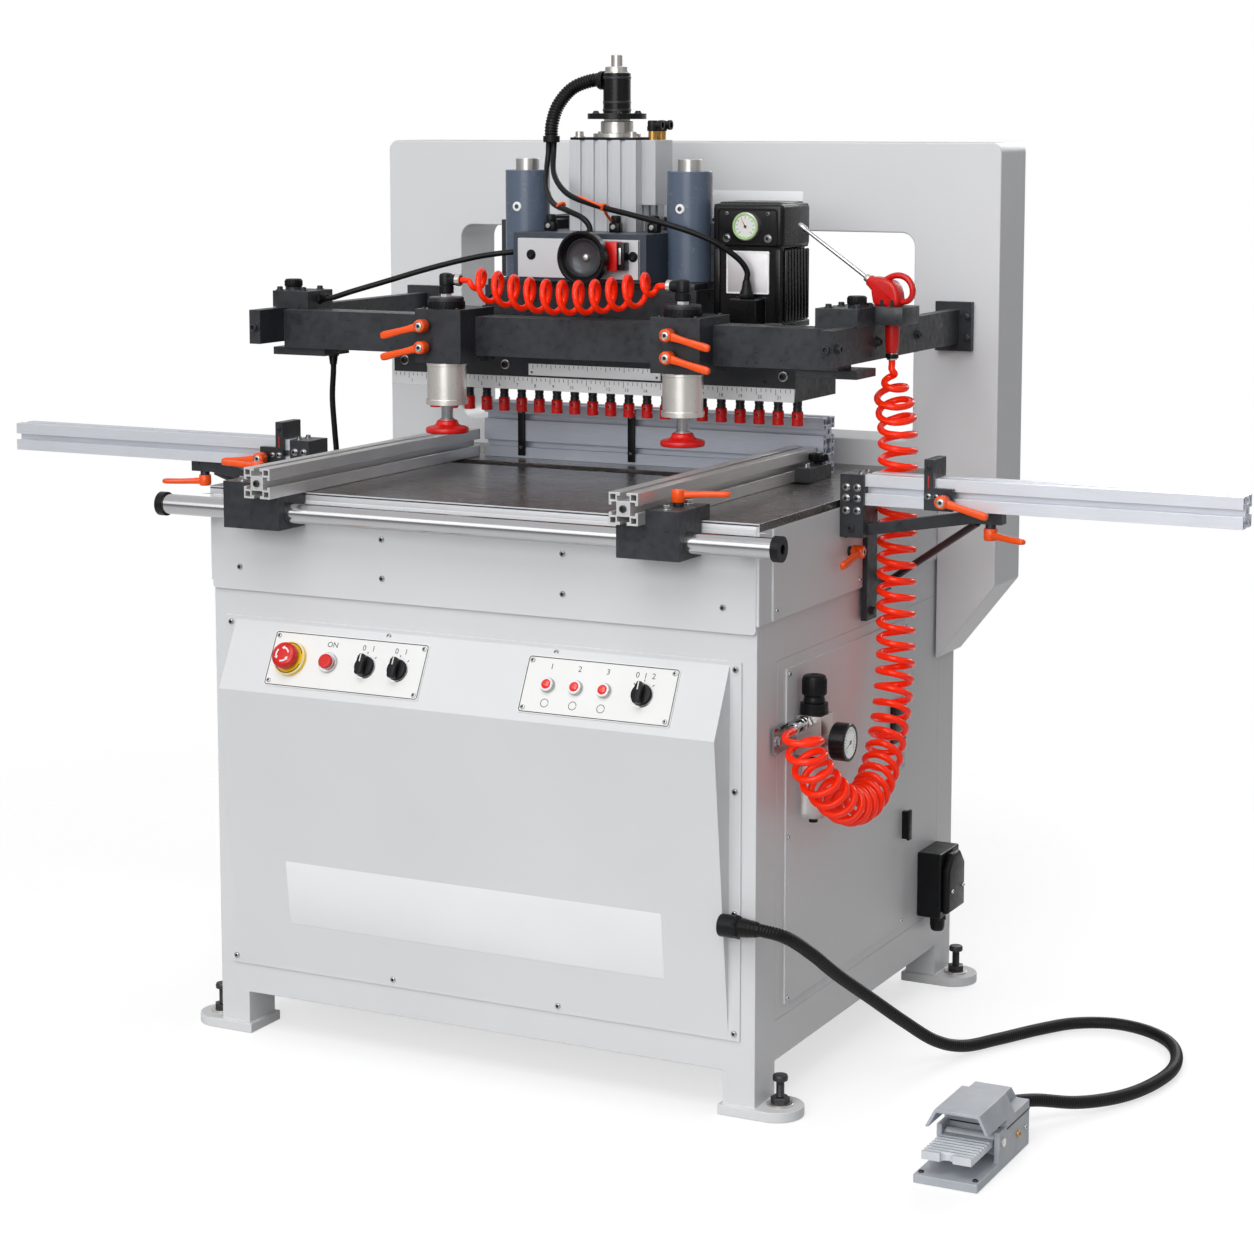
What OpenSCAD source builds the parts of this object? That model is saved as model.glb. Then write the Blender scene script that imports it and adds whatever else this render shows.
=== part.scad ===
// Multi-spindle line boring machine on a floor cabinet.
// Origin on the floor under the middle of the cabinet: X to the right, Y to the back, Z up.

/* [Cabinet] */
// Width across the legs
cab_w = 904; // [880:2:940]
// Depth over the legs
cab_d = 778; // [760:2:800]
// Height of the table surface
table_z = 848; // [835:1:865]
// Height of the skirt's lower edge
skirt_z = 64; // [50:1:80]
// Height of the table housing above the lower cabinet
housing_h = 132; // [120:1:140]
// Width of a leg, side to side
leg_w = 50; // [44:1:56]
// Depth of a leg, front to back
leg_d = 70; // [60:1:78]
// Thickness of a foot plate
foot_t = 15; // [10:1:20]
// Depth of a foot plate
foot_d = 80; // [72:1:88]
// Reach of a foot plate outside its leg
foot_out = 58; // [54:1:70]
// Thickness of the sheet metal
sheet_t = 3; // [2:0.5:4]
// Thickness of the table plate
table_t = 12; // [8:1:16]

/* [Front cover] */
// Width of the front cover's flange
flange_w = 860; // [840:2:870]
// Height of the front cover's flange
flange_h = 543; // [530:1:550]
// Width of the raised middle of the front cover
bump_w = 824; // [800:2:834]
// How far the ridge of the front cover stands out
bump_out = 50; // [40:1:60]
// Height of the sloping control panel
fascia_h = 98; // [94:1:106]
// Diameter of the emergency stop's head
estop_d = 40; // [34:1:44]
// Diameter of the push button
button_d = 22; // [18:1:26]
// Diameter of a selector knob
selector_d = 32; // [26:1:36]

/* [Portal] */
// Depth of the portal frame
portal_d = 116; // [100:1:130]
// Width of a portal column outside the cabinet
column_out = 98; // [90:1:110]
// Width of a portal column inside the cabinet's side
column_in = 40; // [34:1:50]
// Height of the portal frame above the table
portal_h = 514; // [505:1:530]
// Height of the portal's top beam
top_beam_h = 142; // [130:1:150]
// Height of the window's sill above the table
sill_h = 42; // [30:1:50]

/* [Boring head] */
// Number of spindles
spindles_n = 21; // [11:2:21]
// Distance between spindles
pitch = 32; // [32:1:36]
// Stroke of the boring head
head_stroke = 36; // [20:1:38]
// Height of the spindle tips above the table
tip_rise = 86; // [80:1:92]
// Diameter of a spindle sleeve
sleeve_d = 18; // [16:1:20]
// Diameter of a drill's shank
shank_d = 10; // [8:1:11]
// Diameter of a guide rod
guide_d = 37; // [30:1:40]
// Diameter of a guide housing
guide_housing_d = 70; // [64:1:76]
// Distance from the middle to a guide rod
guide_x = 142; // [138:1:148]
// Width of the air cylinder
air_w = 116; // [108:1:120]
// Width of the motor
motor_w = 113; // [100:1:120]

/* [Hold-down clamps] */
// Height of the clamp beam above the table
beam_rise = 192; // [188:1:198]
// Height of the clamp beam
beam_h = 60; // [54:1:64]
// Depth of the clamp beam
beam_d = 50; // [40:1:56]
// Width of a clamp carrier
carrier_w = 80; // [74:1:86]
// Diameter of a clamp cylinder
barrel_d = 60; // [54:1:64]
// Diameter of a clamp rod
clamp_rod_d = 18; // [14:1:20]
// Diameter of a clamp pad
pad_d = 66; // [58:1:68]
// Stroke of a clamp
clamp_stroke = 60; // [40:1:62]

/* [Fences and rails] */
// Side of the slotted aluminium profile
profile = 45; // [40:1:46]
// Diameter of the front guide bar
bar_d = 30; // [26:1:32]
// Reach of the front guide bar past the cabinet on each side
bar_over = 48; // [38:1:70]
// Length of an extension rail
rail_l = 555; // [500:5:600]
// Length of a clamp lever's arm
lever_l = 72; // [60:1:80]

/* [Foot pedal] */
// Width of the pedal's base
pedal_w = 90; // [84:1:110]
// Length of the pedal's base
pedal_l = 207; // [200:1:220]

/* [Hoses] */
// Diameter of the curly air hose's tube
air_tube_d = 10; // [8:0.5:11]
// Diameter over the curls of the air hose
air_coil_d = 60; // [52:1:62]
// Number of curls of the air hose
air_curls = 38; // [20:1:38]
// Diameter of the clamp hose's tube
clamp_tube_d = 9; // [7:0.5:10]
// Diameter over the curls of the clamp hose
clamp_coil_d = 54; // [46:1:56]
// Number of curls of the clamp hose
clamp_curls = 12; // [8:1:13]
// Diameter over the ribs of the foot hose
foot_hose_d = 19; // [16:0.5:20]
// Number of ribs of the foot hose
foot_ribs = 62; // [40:2:62]
// Diameter of a plain cable
cable_d = 9; // [7:0.5:10]
// Diameter over the ribs of the conduit
conduit_d = 22; // [20:0.5:24]
// Number of ribs of the conduit
conduit_ribs = 20; // [12:2:20]

/* [Hidden] */
$fn = 48;

// Overrun of every cut
over = 1;
// Radial clearance of a running fit
fit_gap = 0.05;
// Clearance between faces that move past each other
slide_gap = 0.3;

// Main planes of the cabinet
half_w = cab_w / 2;
front_y = -cab_d / 2;
back_y = cab_d / 2;
housing_top = table_z - table_t;
seam_z = housing_top - housing_h;
housing_lip = 4;
side_x = half_w + housing_lip;
skin_y = front_y - sheet_t;
frame_rail_h = 60;
frame_rail_t = 30;
rail_top_z = seam_z - frame_rail_h;
rail_low_z = skirt_z + frame_rail_h;

// Feet and levelling bolts
foot_lip = 6;
bolt_d = 12;
bolt_l = 56;
bolt_head_d = 22;
bolt_head_h = 9;
bolt_nut_d = 24;
bolt_nut_h = 10;
bolt_x = half_w + foot_out - foot_d / 2 + foot_lip;

// Screws of the covers
screw_d = 9;
screw_h = 3;

// Front cover
flange_z = 110;
flange_top = flange_z + flange_h;
bump_low_z = flange_z + 2 * sheet_t;
bump_top_z = flange_top - 2 * sheet_t;
ridge_z = bump_top_z - fascia_h;
fascia_tilt = atan2(bump_out, fascia_h);
fascia_mid_y = skin_y - bump_out / 2;
fascia_mid_z = bump_top_z - fascia_h / 2;

// Control plates and the places of the controls on them
plate_t = 2;
plate_h = 86;
plate_r = 4;
left_plate_x = -200;
left_plate_w = 268;
right_plate_x = 220;
right_plate_w = 242;
estop_x = -296;
start_x = -230;
selector_xs = [-167, -111, 289];
lamp_xs = [140, 185, 230];
collar_d = 52;
collar_h = 8;
bezel_d = 30;
bezel_h = 5;
stem_d = 14;
stem_l = 16;
estop_travel = 5;
estop_head_h = 13;
button_travel = 3;
lamp_d = 20;
lamp_h = 8;
knob_base_h = 6;
knob_bar_w = 11;
knob_bar_h = 18;

// Table housing
front_panel_t = 2;
front_panel_r = 6;
front_panel_drop = 12;
front_panel_inset = 0;
side_plate_y = [-350, -25];
side_plate_inset = 2;

// Table and its slot under the spindles
spindle_y = 48;
slot_d = 50;
slot_end = 26;

// Portal frame
portal_lap = 97;
portal_y = back_y - portal_lap;
portal_back = portal_y + portal_d;
portal_half = side_x + column_out;
window_half = half_w - column_in;
portal_top = table_z + portal_h;
window_top = portal_top - top_beam_h;
sill_top = table_z + sill_h;
window_r = 22;
portal_r = 16;
column_low_in_z = 542;
column_low_out_z = 667;

// Front guide bar and what runs on it
bar_stand = 51;
bar_drop = 25;
bar_l = cab_w + 2 * bar_over;
bar_y = front_y - bar_stand;
bar_z = table_z - bar_drop;
cap_d = 36;
cap_l = 12;
cap_socket_d = 14;
standoff_d = 16;
standoff_inset = 13;
runner_front = 28;
runner_low = 24;
runner_gap = 3.5;
fence_rear_y = 125;
fence_over = 50;
fence_front_y = bar_y - fence_over;
left_fence_in = 148;
right_fence_in = 156;
left_fence_x = left_fence_in - half_w;
right_fence_x = half_w - right_fence_in;
bracket_w = 52;
bracket_back = 70;
bracket_h = 20;
keeper_w = 26;
keeper_l = 84;
keeper_h = 22;

// Shares of the slotted profile's side
mouth_share = 0.22;
lip_share = 0.1;
room_share = 0.42;
depth_share = 0.26;
cell_share = 0.17;
cell_place_share = 0.355;
core_share = 0.16;

// Rear fence
rear_fence_y = 130;
rear_fence_xs = [-276, 328];
rear_fence_rows = 2;

// Extension rails, their supports and stops
rail_sink = 6;
rail_z = table_z - rail_sink;
rail_y = -110;
support_w = 37;
support_drop = 48;
support_front = 5;
rail_x = side_x + sheet_t + support_w;
arm_bar_d = 20;
arm_bar_h = 16;
arm_bar_low = 52;
arm_bar_high = 18;
arm_bar_l = 205;
arm_bar_x = rail_x + arm_bar_l;
post_y = [-24, 16];
post_t = 10;
post_z = [655, 822];
strut_d = 11;
strut_foot_z = 700;
strut_foot_y = 63;
strut_back = 40;
strut_head_x = arm_bar_x - strut_back;
stop_w = 34;
stop_post_w = 14;
stop_t = 8;
stop_rise = 28;
left_stop_run = 45;
right_stop_run = 94;
left_stop_x = -rail_x - left_stop_run;
right_stop_x = rail_x + right_stop_run;

// Clamp levers: hub, stud and arm
lever_hub_d = 20;
lever_hub_h = 24;
lever_arm_h = 11;
lever_arm_z = 12;
lever_root_w = 14;
lever_tip_d = 11;
stud_d = 8;
stud_l = 18;
stud_sink = 3;

// Hold-down frame
arm_w = 20;
arm_h = 53;
arm_x = (window_half + portal_half) / 2;
arm_front_y = -227;
beam_front_y = -160;
beam_back_y = beam_front_y + beam_d;
beam_z = table_z + beam_rise;
beam_top = beam_z + beam_h;
arm_lift = 10;
arm_z = beam_z + arm_lift;
arm_top = arm_z + arm_h;
arm_in = arm_x - arm_w / 2;
arm_out = arm_x + arm_w / 2;
clip_y = [-152, -80];
clip_in = 40;
clip_out = 6;
clip_h = 26;
clip_foot_h = 12;
clip_foot_in = 70;
clip_knob_d = 26;
clip_knob_h = 14;
flange_plate_t = 12;
flange_plate_w = 60;
gun_plate_y = [-84, -18];
gun_plate_out = 46;
gun_plate_in = 40;
gun_plate_t = 25;

// Clamp carriers
left_clamp_x = -165;
right_clamp_x = 235;
clamp_out = 18;
carrier_out = 45;
carrier_wall = 8;
carrier_floor = 10;
carrier_lid = 12;
clamp_y = beam_front_y - clamp_out;
carrier_front_y = beam_front_y - carrier_out;
carrier_back_y = beam_back_y + carrier_wall;
carrier_low = beam_z - carrier_floor;
carrier_top = beam_top + carrier_lid;
lever_drop_share = 0.3;
left_hub_x = -20;
right_hub_x = -5;
puck_d = 56;
puck_h = 12;
post_d = 16;
elbow_d = 14;
elbow_rise = 44;
elbow_z = carrier_top + elbow_rise;
elbow_l = 26;
barrel_spare = 14;
barrel_low = beam_z - clamp_stroke - barrel_spare;
barrel_ring_h = 8;
barrel_ring_t = 2;
barrel_ring_d = barrel_d + 2 * barrel_ring_t;
rod_top_gap = 5;
pad_rise = 74;
pad_low = table_z + pad_rise;
pad_h = 14;
pad_hat_h = 11;
pad_hat_d = 44;
pad_neck_d = 29;
pad_neck_h = 9;

// Boring head
tip_z = table_z + tip_rise;
sleeve_h = 22;
stem_h = 22;
spindle_stem_d = 14;
box_z = tip_z + sleeve_h + stem_h;
box_wall = 6;
box_h = 56;
box_end = 30;
box_front = 78;
box_back = 78;
box_top = box_z + box_h;
gear_gap = 0.6;
gear_low = 8;
gear_h = 20;
bit_depth = 18;
block_half_w = 184;
block_front = 64;
block_back = 62;
block_h = 106;
block_top = box_top + block_h;
row_half = (spindles_n - 1) / 2 * pitch;
strip_t = 4;
strip_h = 20;

// Yoke, guide housings and cylinder above the head
guide_y = 38;
air_y = 70;
air_d = 100;
yoke_gap = 10;
yoke_h = 75;
yoke_low = block_top + yoke_gap;
yoke_top = yoke_low + yoke_h;
yoke_half_w = 115;
yoke_front_y = -58;
yoke_back_y = air_y + air_d / 2;
yoke_plate_t = 6;
yoke_plate_half_w = 104;
yoke_plate_h = 60;
guide_housing_low = yoke_low;
guide_housing_h = 169;
guide_housing_top = yoke_low + guide_housing_h;
guide_top = guide_housing_top + head_stroke / 2;
guide_sink = 100;
air_h = 141;
air_top = yoke_top + air_h;
air_wall = 10;
air_bore_d = 80;
piston_h = 16;
piston_rod_d = 25;
rib_n = 5;
rib_gap_share = 0.35;
rib_depth = 5;
cheek_w = 96;
cheek_h = 90;
cheek_step = 20;
bracket_t = 20;
bracket_half_w = 190;
gusset_x = 150;
gusset_t = 12;
gusset_rise = 25;
bracket_top = max(window_top + gusset_rise, guide_housing_low + cheek_h);

// Stack on top of the air cylinder
flange_cap_d = 74;
flange_cap_h = 10;
nut_d = 46;
nut_h = 22;
disc_d = 92;
disc_h = 9;
sleeve_top_d = 43;
sleeve_top_h = 62;
hex_d = 26;
hex_h = 10;
tip_rod_d = 18;
tip_rod_h = 18;
spigot_d = 10;
spigot_l = 12;
stack_z = air_top + flange_cap_h;
disc_z = stack_z + nut_h;
sleeve_z = disc_z + disc_h;
knob_z = sleeve_z + sleeve_top_h;
valve_w = 24;
valve_d = 60;
valve_h = 100;
port_d = 14;
port_l = 14;

// Warning horn in front of the yoke
horn_x = 30;
horn_rise = 40;
horn_z = yoke_low + horn_rise;
horn_d = 82;
horn_depth = 16;
horn_cone_share = 0.7;
horn_body_d = 50;
horn_l = 46;

// Motor
motor_x = 201;
motor_y = [0, 100];
motor_base_h = 56;
motor_low = box_top + motor_base_h;
motor_h = 181;
motor_top = motor_low + motor_h;
motor_cover_h = 66;
motor_inset = 8;
fin_n = 9;
fin_depth = 6;
fin_share = 0.5;
terminal_w = 46;
terminal_d = 32;
terminal_h = 40;
terminal_x = 240;
gland_d = 18;
gland_h = 12;
gauge_d = 42;
gauge_h = 8;
motor_gland = [terminal_x + terminal_w / 2, motor_y[0] - terminal_d / 2, motor_low + terminal_h + gland_h];

// Regulator, power inlet and hose gland on the right side
frl_y = [-267, -222];
frl_w = 41;
frl_x = side_x + frl_w;
frl_z = [500, 558];
frl_plate_y = [-345, -200];
frl_plate_z = [515, 552];
bowl_d = 36;
bowl_h = 92;
bowl_tip_d = 12;
bowl_tip_h = 8;
collar_ring_d = 40;
collar_ring_h = 16;
reg_knob_d = 36;
reg_knob_h = 40;
dial_d = 42;
dial_l = 22;
dial_z = 521;
dial_stub_d = 14;
dial_stub_l = 12;
outlet_d = 16;
outlet_l = 46;
frl_mid_y = (frl_y[0] + frl_y[1]) / 2;
frl_mid_x = (side_x + frl_x) / 2;
inlet_port_d = 13;
inlet_port_l = 16;
inlet_from_back = 71;
inlet_w = 83;
inlet_y = [back_y - inlet_from_back - inlet_w, back_y - inlet_from_back];
inlet_z = [135, 240];
inlet_depth = 40;
inlet_gland_d = 24;
inlet_gland_h = 24;
foot_gland_d = 32;
foot_gland_l = 28;
foot_gland_out = 28;
foot_gland_y = skin_y - foot_gland_out;
foot_gland_z = 285;
handle_y = [158, 172];
handle_z = [440, 486];
handle_t = 7;
hinge_y = [170, 186];
hinge_zs = [280, 520];
hinge_h = 44;
hinge_t = 12;
cover_y = [-292, 168];
cover_z = [140, 628];

// Foot pedal
pedal_x = 783;
pedal_back_y = -305;
pedal_front_y = pedal_back_y - pedal_l;
pedal_base_h = 12;
pedal_wall = 8;
pedal_body_l = 92;
pedal_body_h = 64;
hood_l = 74;
hood_h = 26;
hood_t = 5;
hood_top_share = 0.7;
hood_back_share = 0.35;
crown_slope = 22;
ear_l = 26;
ear_h = 42;
hinge_pin_d = 8;
pin_gap = 16;
pin_y = pedal_back_y - pedal_body_l - pin_gap;
pin_z = 38;
treadle_gap = 2;
treadle_t = 9;
treadle_boss_d = 18;
treadle_rib_n = 8;
treadle_rib_h = 2.5;
treadle_rib_share = 0.44;
treadle_notch = 18;
treadle_front_gap = 3;
pedal_gland_d = 30;
pedal_gland_l = 20;
pedal_gland_z = 36;

// Routes of the hoses and cables, chosen by hand
// Gap between a hose's end and the fitting that it meets
hose_gap = 0.3;
hose_lead = 15;
foot_gland_end = [bump_w / 2 + foot_gland_l + hose_gap, foot_gland_y, foot_gland_z];
pedal_gland_end = [pedal_x, pedal_back_y + pedal_gland_l + hose_gap, pedal_gland_z];
foot_hose_route = concat(
    [for (k = [0:2]) foot_gland_end + [k * hose_lead, 0, 0]], [
    [502, -396, 272], [516, -340, 236], [526, -270, 188],
    [545, -190, 134], [568, -110, 78], [592, -45, 34], [618, 8, 14], [650, 70, 11], [690, 142, 11],
    [730, 196, 11], [785, 222, 11], [842, 210, 11], [888, 170, 11], [916, 110, 11], [926, 40, 11],
    [914, -40, 11], [888, -105, 12], [850, -165, 18], [808, -213, 30]
], [for (k = [2:-1:0]) pedal_gland_end + [0, k * hose_lead, 0]]);
// Measured from the cabinet's side
air_axis_out = [
    [60, -50, 1044], [60, -50, 1024], [60, -40, 990], [60, -26, 950], [60, -22, 900],
    [60, -22, 820], [60, -22, 740], [60, -22, 660], [62, -28, 590], [66, -54, 520],
    [71, -98, 464], [75, -152, 430], [76, -206, 422], [74, -258, 436], [64, -302, 470],
    [52, -328, 510], [46, -336, 548]
];
air_axis = [for (p = air_axis_out) p + [half_w, 0, 0]];
conduit_route = [
    [-22, 70, 1458], [-44, 70, 1458], [-74, 62, 1446], [-92, 48, 1420], [-98, 38, 1390], [-98, 36, 1366]
];
horn_cable_route = [
    [-103, 36, 1366], [-103, 35, 1346], [-98, 20, 1318], [-82, -10, 1292], [-52, -45, 1270],
    [-14, -70, 1260], [18, -80, 1249], [30, -80, 1235], [30, -80, 1215]
];
motor_cable_run = [
    [-93, 36, 1366], [-93, 34, 1346], [-78, 8, 1312], [-38, -24, 1284], [20, -46, 1268],
    [90, -56, 1254], [160, -54, 1238], [214, -40, 1218], [250, -24, 1192]
];
motor_cable_end = motor_gland + [0, 0, hose_gap];
motor_cable_route = concat(
    motor_cable_run, [for (k = [2:-1:0]) motor_cable_end + [0, 0, k * hose_lead]]
);
side_cable_run = [
    [-115, -20, 1192], [-136, -21, 1192], [-190, -40, 1184], [-260, -64, 1166], [-330, -88, 1144]
];
// Measured from the cabinet's left side
side_cable_in = [[72, -108, 1128], [38, -116, 1117], [19, -116, 1116]];
drop_cable_in = [
    [42, -116, 1028], [42, -116, 1004], [38, -114, 960], [40, -112, 910], [42, -110, 870], [42, -110, 848]
];
side_cable_route = concat(side_cable_run, [for (p = side_cable_in) p - [half_w, 0, 0]]);
drop_cable_route = [for (p = drop_cable_in) p - [half_w, 0, 0]];
clamp_sag = 22;
clamp_hose_y = clamp_y;
steps_per_curl = 8;
coil_sides = 6;
rib_sides = 8;
cable_sides = 8;
cable_steps = 2;

// Box between two opposite corners
module block(lo, hi) {
    translate(lo) cube(hi - lo);
}

// Outline in Y and Z, drawn out along X
module prism_x(points, x0, x1) {
    translate([x0, 0, 0]) rotate([90, 0, 90]) linear_extrude(x1 - x0) polygon(points);
}

// Outline in X and Z, drawn out along Y
module prism_y(points, y0, y1) {
    translate([0, y1, 0]) rotate([90, 0, 0]) linear_extrude(y1 - y0) polygon(points);
}

// Flat outline with round corners
module round_rect(lo, hi, r) {
    translate(lo + [r, 0]) square(hi - lo - [2 * r, 0]);
    translate(lo + [0, r]) square(hi - lo - [0, 2 * r]);
    for (x = [lo[0] + r, hi[0] - r], y = [lo[1] + r, hi[1] - r]) {
        translate([x, y]) circle(r);
    }
}

// Round bar between two points
module bar_between(p, q, d) {
    v = q - p;
    translate(p) rotate([0, acos(v[2] / norm(v)), atan2(v[1], v[0])]) cylinder(d = d, h = norm(v));
}

// Right half of a pair, or its mirror image on the left
module on_side(s) {
    mirror([s < 0 ? 1 : 0, 0, 0]) children();
}

// Round bar along X
module bar_x(x0, x1, y, z, d) {
    translate([x0, y, z]) rotate([0, 90, 0]) cylinder(d = d, h = x1 - x0);
}

// Round bar along Y
module bar_y(x, y0, y1, z, d) {
    translate([x, y1, z]) rotate([90, 0, 0]) cylinder(d = d, h = y1 - y0);
}

// Cross-section of the slotted aluminium profile
module slot_section(s) {
    difference() {
        square(s, center = true);
        for (a = [0:90:270]) {
            rotate(a) {
                translate([s / 2 - depth_share * s, -mouth_share * s / 2])
                    square([depth_share * s + over, mouth_share * s]);
                translate([s / 2 - depth_share * s, -room_share * s / 2])
                    square([(depth_share - lip_share) * s, room_share * s]);
                translate([cell_place_share * s, cell_place_share * s])
                    square(cell_share * s, center = true);
            }
        }
        circle(d = core_share * s);
    }
}

module profile_x(x0, x1, y, z) {
    translate([x0, y + profile / 2, z + profile / 2]) rotate([90, 0, 90]) linear_extrude(x1 - x0)
        slot_section(profile);
}

module profile_y(x, y0, y1, z) {
    translate([x + profile / 2, y1, z + profile / 2]) rotate([90, 0, 0]) linear_extrude(y1 - y0)
        slot_section(profile);
}

// Smooth routes and swept tubes
steep_share = 0.9;
function unit(v) = v / norm(v);
function blend4(a, b, c, d, t) =
    (2 * b + (c - a) * t + (2 * a - 5 * b + 4 * c - d) * t * t + (3 * b - a - 3 * c + d) * t * t * t) / 2;
function route(p, n) = concat(
    [for (i = [0:len(p) - 2]) for (k = [0:n - 1])
        blend4(p[max(i - 1, 0)], p[i], p[i + 1], p[min(i + 2, len(p) - 1)], k / n)],
    [p[len(p) - 1]]
);
function tangents(p) = [for (i = [0:len(p) - 1])
    unit(p[min(i + 1, len(p) - 1)] - p[max(i - 1, 0)])];
function first_normal(t) = unit(cross(t, abs(t[2]) < steep_share ? [0, 0, 1] : [1, 0, 0]));
function carried(n, t) = unit(n - (n * t) * t);
function normals(t) = [for (i = 0, n = first_normal(t[0]); i < len(t);
    i = i + 1, n = carried(n, t[min(i, len(t) - 1)])) n];
function lengths(p) = [for (i = 0, s = 0; i < len(p);
    i = i + 1, s = s + (i < len(p) ? norm(p[i] - p[i - 1]) : 0)) s];
function index_at(s, d, i = 0) = i >= len(s) - 2 || s[i + 1] >= d ? i : index_at(s, d, i + 1);
function point_at(p, s, d) = let (i = index_at(s, d))
    p[i] + (p[i + 1] - p[i]) * (d - s[i]) / (s[i + 1] - s[i]);
// The route again, in n equal steps
function evenly(p, n) = let (s = lengths(p)) [for (i = [0:n]) point_at(p, s, s[len(s) - 1] * i / n)];
function rings(p, r, sides) = let (t = tangents(p), n = normals(t)) [for (i = [0:len(p) - 1])
    for (k = [0:sides - 1]) let (a = 360 * k / sides)
        p[i] + r[i] * (cos(a) * n[i] + sin(a) * cross(t[i], n[i]))];
function walls(first, count, sides) = [for (i = [0:count - 2]) for (k = [0:sides - 1])
    let (a = first + i * sides + k, b = first + i * sides + (k + 1) % sides)
        each [[a, a + sides, b + sides], [a, b + sides, b]]];
function turned(faces) = [for (f = faces) [f[0], f[2], f[1]]];
function least_gap(p, d, skip) = min([for (i = [0:len(p) - 1 - skip]) for (j = [i + skip:len(p) - 1])
    norm(p[i] - p[j])]) - d;

// Closed tube with a radius for each point of its route
module tube(p, r, sides) {
    last = (len(p) - 1) * sides;
    polyhedron(
        rings(p, r, sides),
        concat(
            walls(0, len(p), sides),
            [for (k = [1:sides - 2]) [0, k, k + 1]],
            [for (k = [1:sides - 2]) [last, last + k + 1, last + k]]
        )
    );
}

module cable(points) {
    p = route(points, cable_steps);
    tube(p, [for (q = p) cable_d / 2], cable_sides);
}

// Ribbed hose with a bore: its outer rings stand in pairs, crest and groove
module ribbed_hose(points, d, rib_depth, bore, ribs, bore_every) {
    p = evenly(route(points, 8), 2 * ribs);
    r = [for (i = [0:2 * ribs]) d / 2 - (i % 2) * rib_depth];
    q = [for (i = [0:bore_every:2 * ribs]) p[i]];
    first = len(p) * rib_sides;
    out_last = first - rib_sides;
    in_last = first + (len(q) - 1) * rib_sides;
    polyhedron(
        concat(
            rings(p, r, rib_sides),
            let (t = tangents(p), n = normals(t))
            [for (i = [0:bore_every:2 * ribs]) for (k = [0:rib_sides - 1])
                p[i] + bore / 2 * (cos(360 * k / rib_sides) * n[i]
                    + sin(360 * k / rib_sides) * cross(t[i], n[i]))]
        ),
        concat(
            walls(0, len(p), rib_sides),
            turned(walls(first, len(q), rib_sides)),
            [for (k = [0:rib_sides - 1]) let (m = (k + 1) % rib_sides)
                each [[k, m, first + m], [k, first + m, first + k]]],
            [for (k = [0:rib_sides - 1]) let (m = (k + 1) % rib_sides)
                each [[out_last + k, in_last + m, out_last + m], [out_last + k, in_last + k, in_last + m]]]
        )
    );
}

// Welded cabinet frame
module foot_plate() {
    round_x = half_w + foot_out - foot_d / 2;
    difference() {
        union() {
            block([half_w - leg_w - foot_lip, -foot_d / 2, 0], [round_x, foot_d / 2, foot_t]);
            translate([round_x, 0, 0]) cylinder(d = foot_d, h = foot_t);
        }
        translate([bolt_x, 0, -over]) cylinder(d = bolt_d + 2 * fit_gap, h = foot_t + 2 * over);
    }
}

module base_frame() {
    color("gainsboro") {
        for (sx = [-1, 1], sy = [-1, 1]) {
            on_side(sx) translate([0, sy * (back_y - leg_d / 2), 0]) {
                foot_plate();
                block([half_w - leg_w, -leg_d / 2, foot_t], [half_w, leg_d / 2, seam_z]);
            }
        }
        for (z = [[skirt_z, rail_low_z], [rail_top_z, seam_z]]) {
            for (s = [-1, 1]) {
                on_side(s) block(
                    [half_w - frame_rail_t, front_y + leg_d, z[0]],
                    [half_w, back_y - leg_d, z[1]]
                );
            }
            for (y = [front_y, back_y - frame_rail_t]) {
                block([-half_w + leg_w, y, z[0]], [half_w - leg_w, y + frame_rail_t, z[1]]);
            }
        }
    }
}

module levelling_bolt() {
    cylinder(d = bolt_d, h = bolt_l);
    translate([0, 0, foot_t]) cylinder(d = bolt_nut_d, h = bolt_nut_h, $fn = 6);
    translate([0, 0, bolt_l - bolt_head_h]) cylinder(d = bolt_head_d, h = bolt_head_h);
}

// Low round screw head that faces the front
module front_screw(x, y, z) {
    translate([x, y, z]) rotate([90, 0, 0]) cylinder(d = screw_d, h = screw_h);
}

flange_edge = (flange_w - bump_w) / 4;
panel_screw_share = 0.62;
panel_low_share = 0.18;

module fasteners() {
    color("dimgray") {
        for (sx = [-1, 1], sy = [-1, 1]) {
            translate([sx * bolt_x, sy * (back_y - leg_d / 2), 0]) levelling_bolt();
        }
        for (s = [-1, 1], row = [0:3]) {
            front_screw(
                s * (flange_w / 2 - flange_edge), skin_y,
                flange_z + flange_edge + row * (flange_h - 2 * flange_edge) / 3
            );
        }
        for (x = [-half_w / 3, half_w / 3], z = [panel_low_share, panel_screw_share]) {
            front_screw(x, skin_y - front_panel_t, seam_z + z * housing_h);
        }
        for (s = [-1, 1]) {
            front_screw(s * (half_w - leg_w), skin_y - front_panel_t, seam_z + panel_low_share * housing_h);
        }
    }
}

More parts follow.
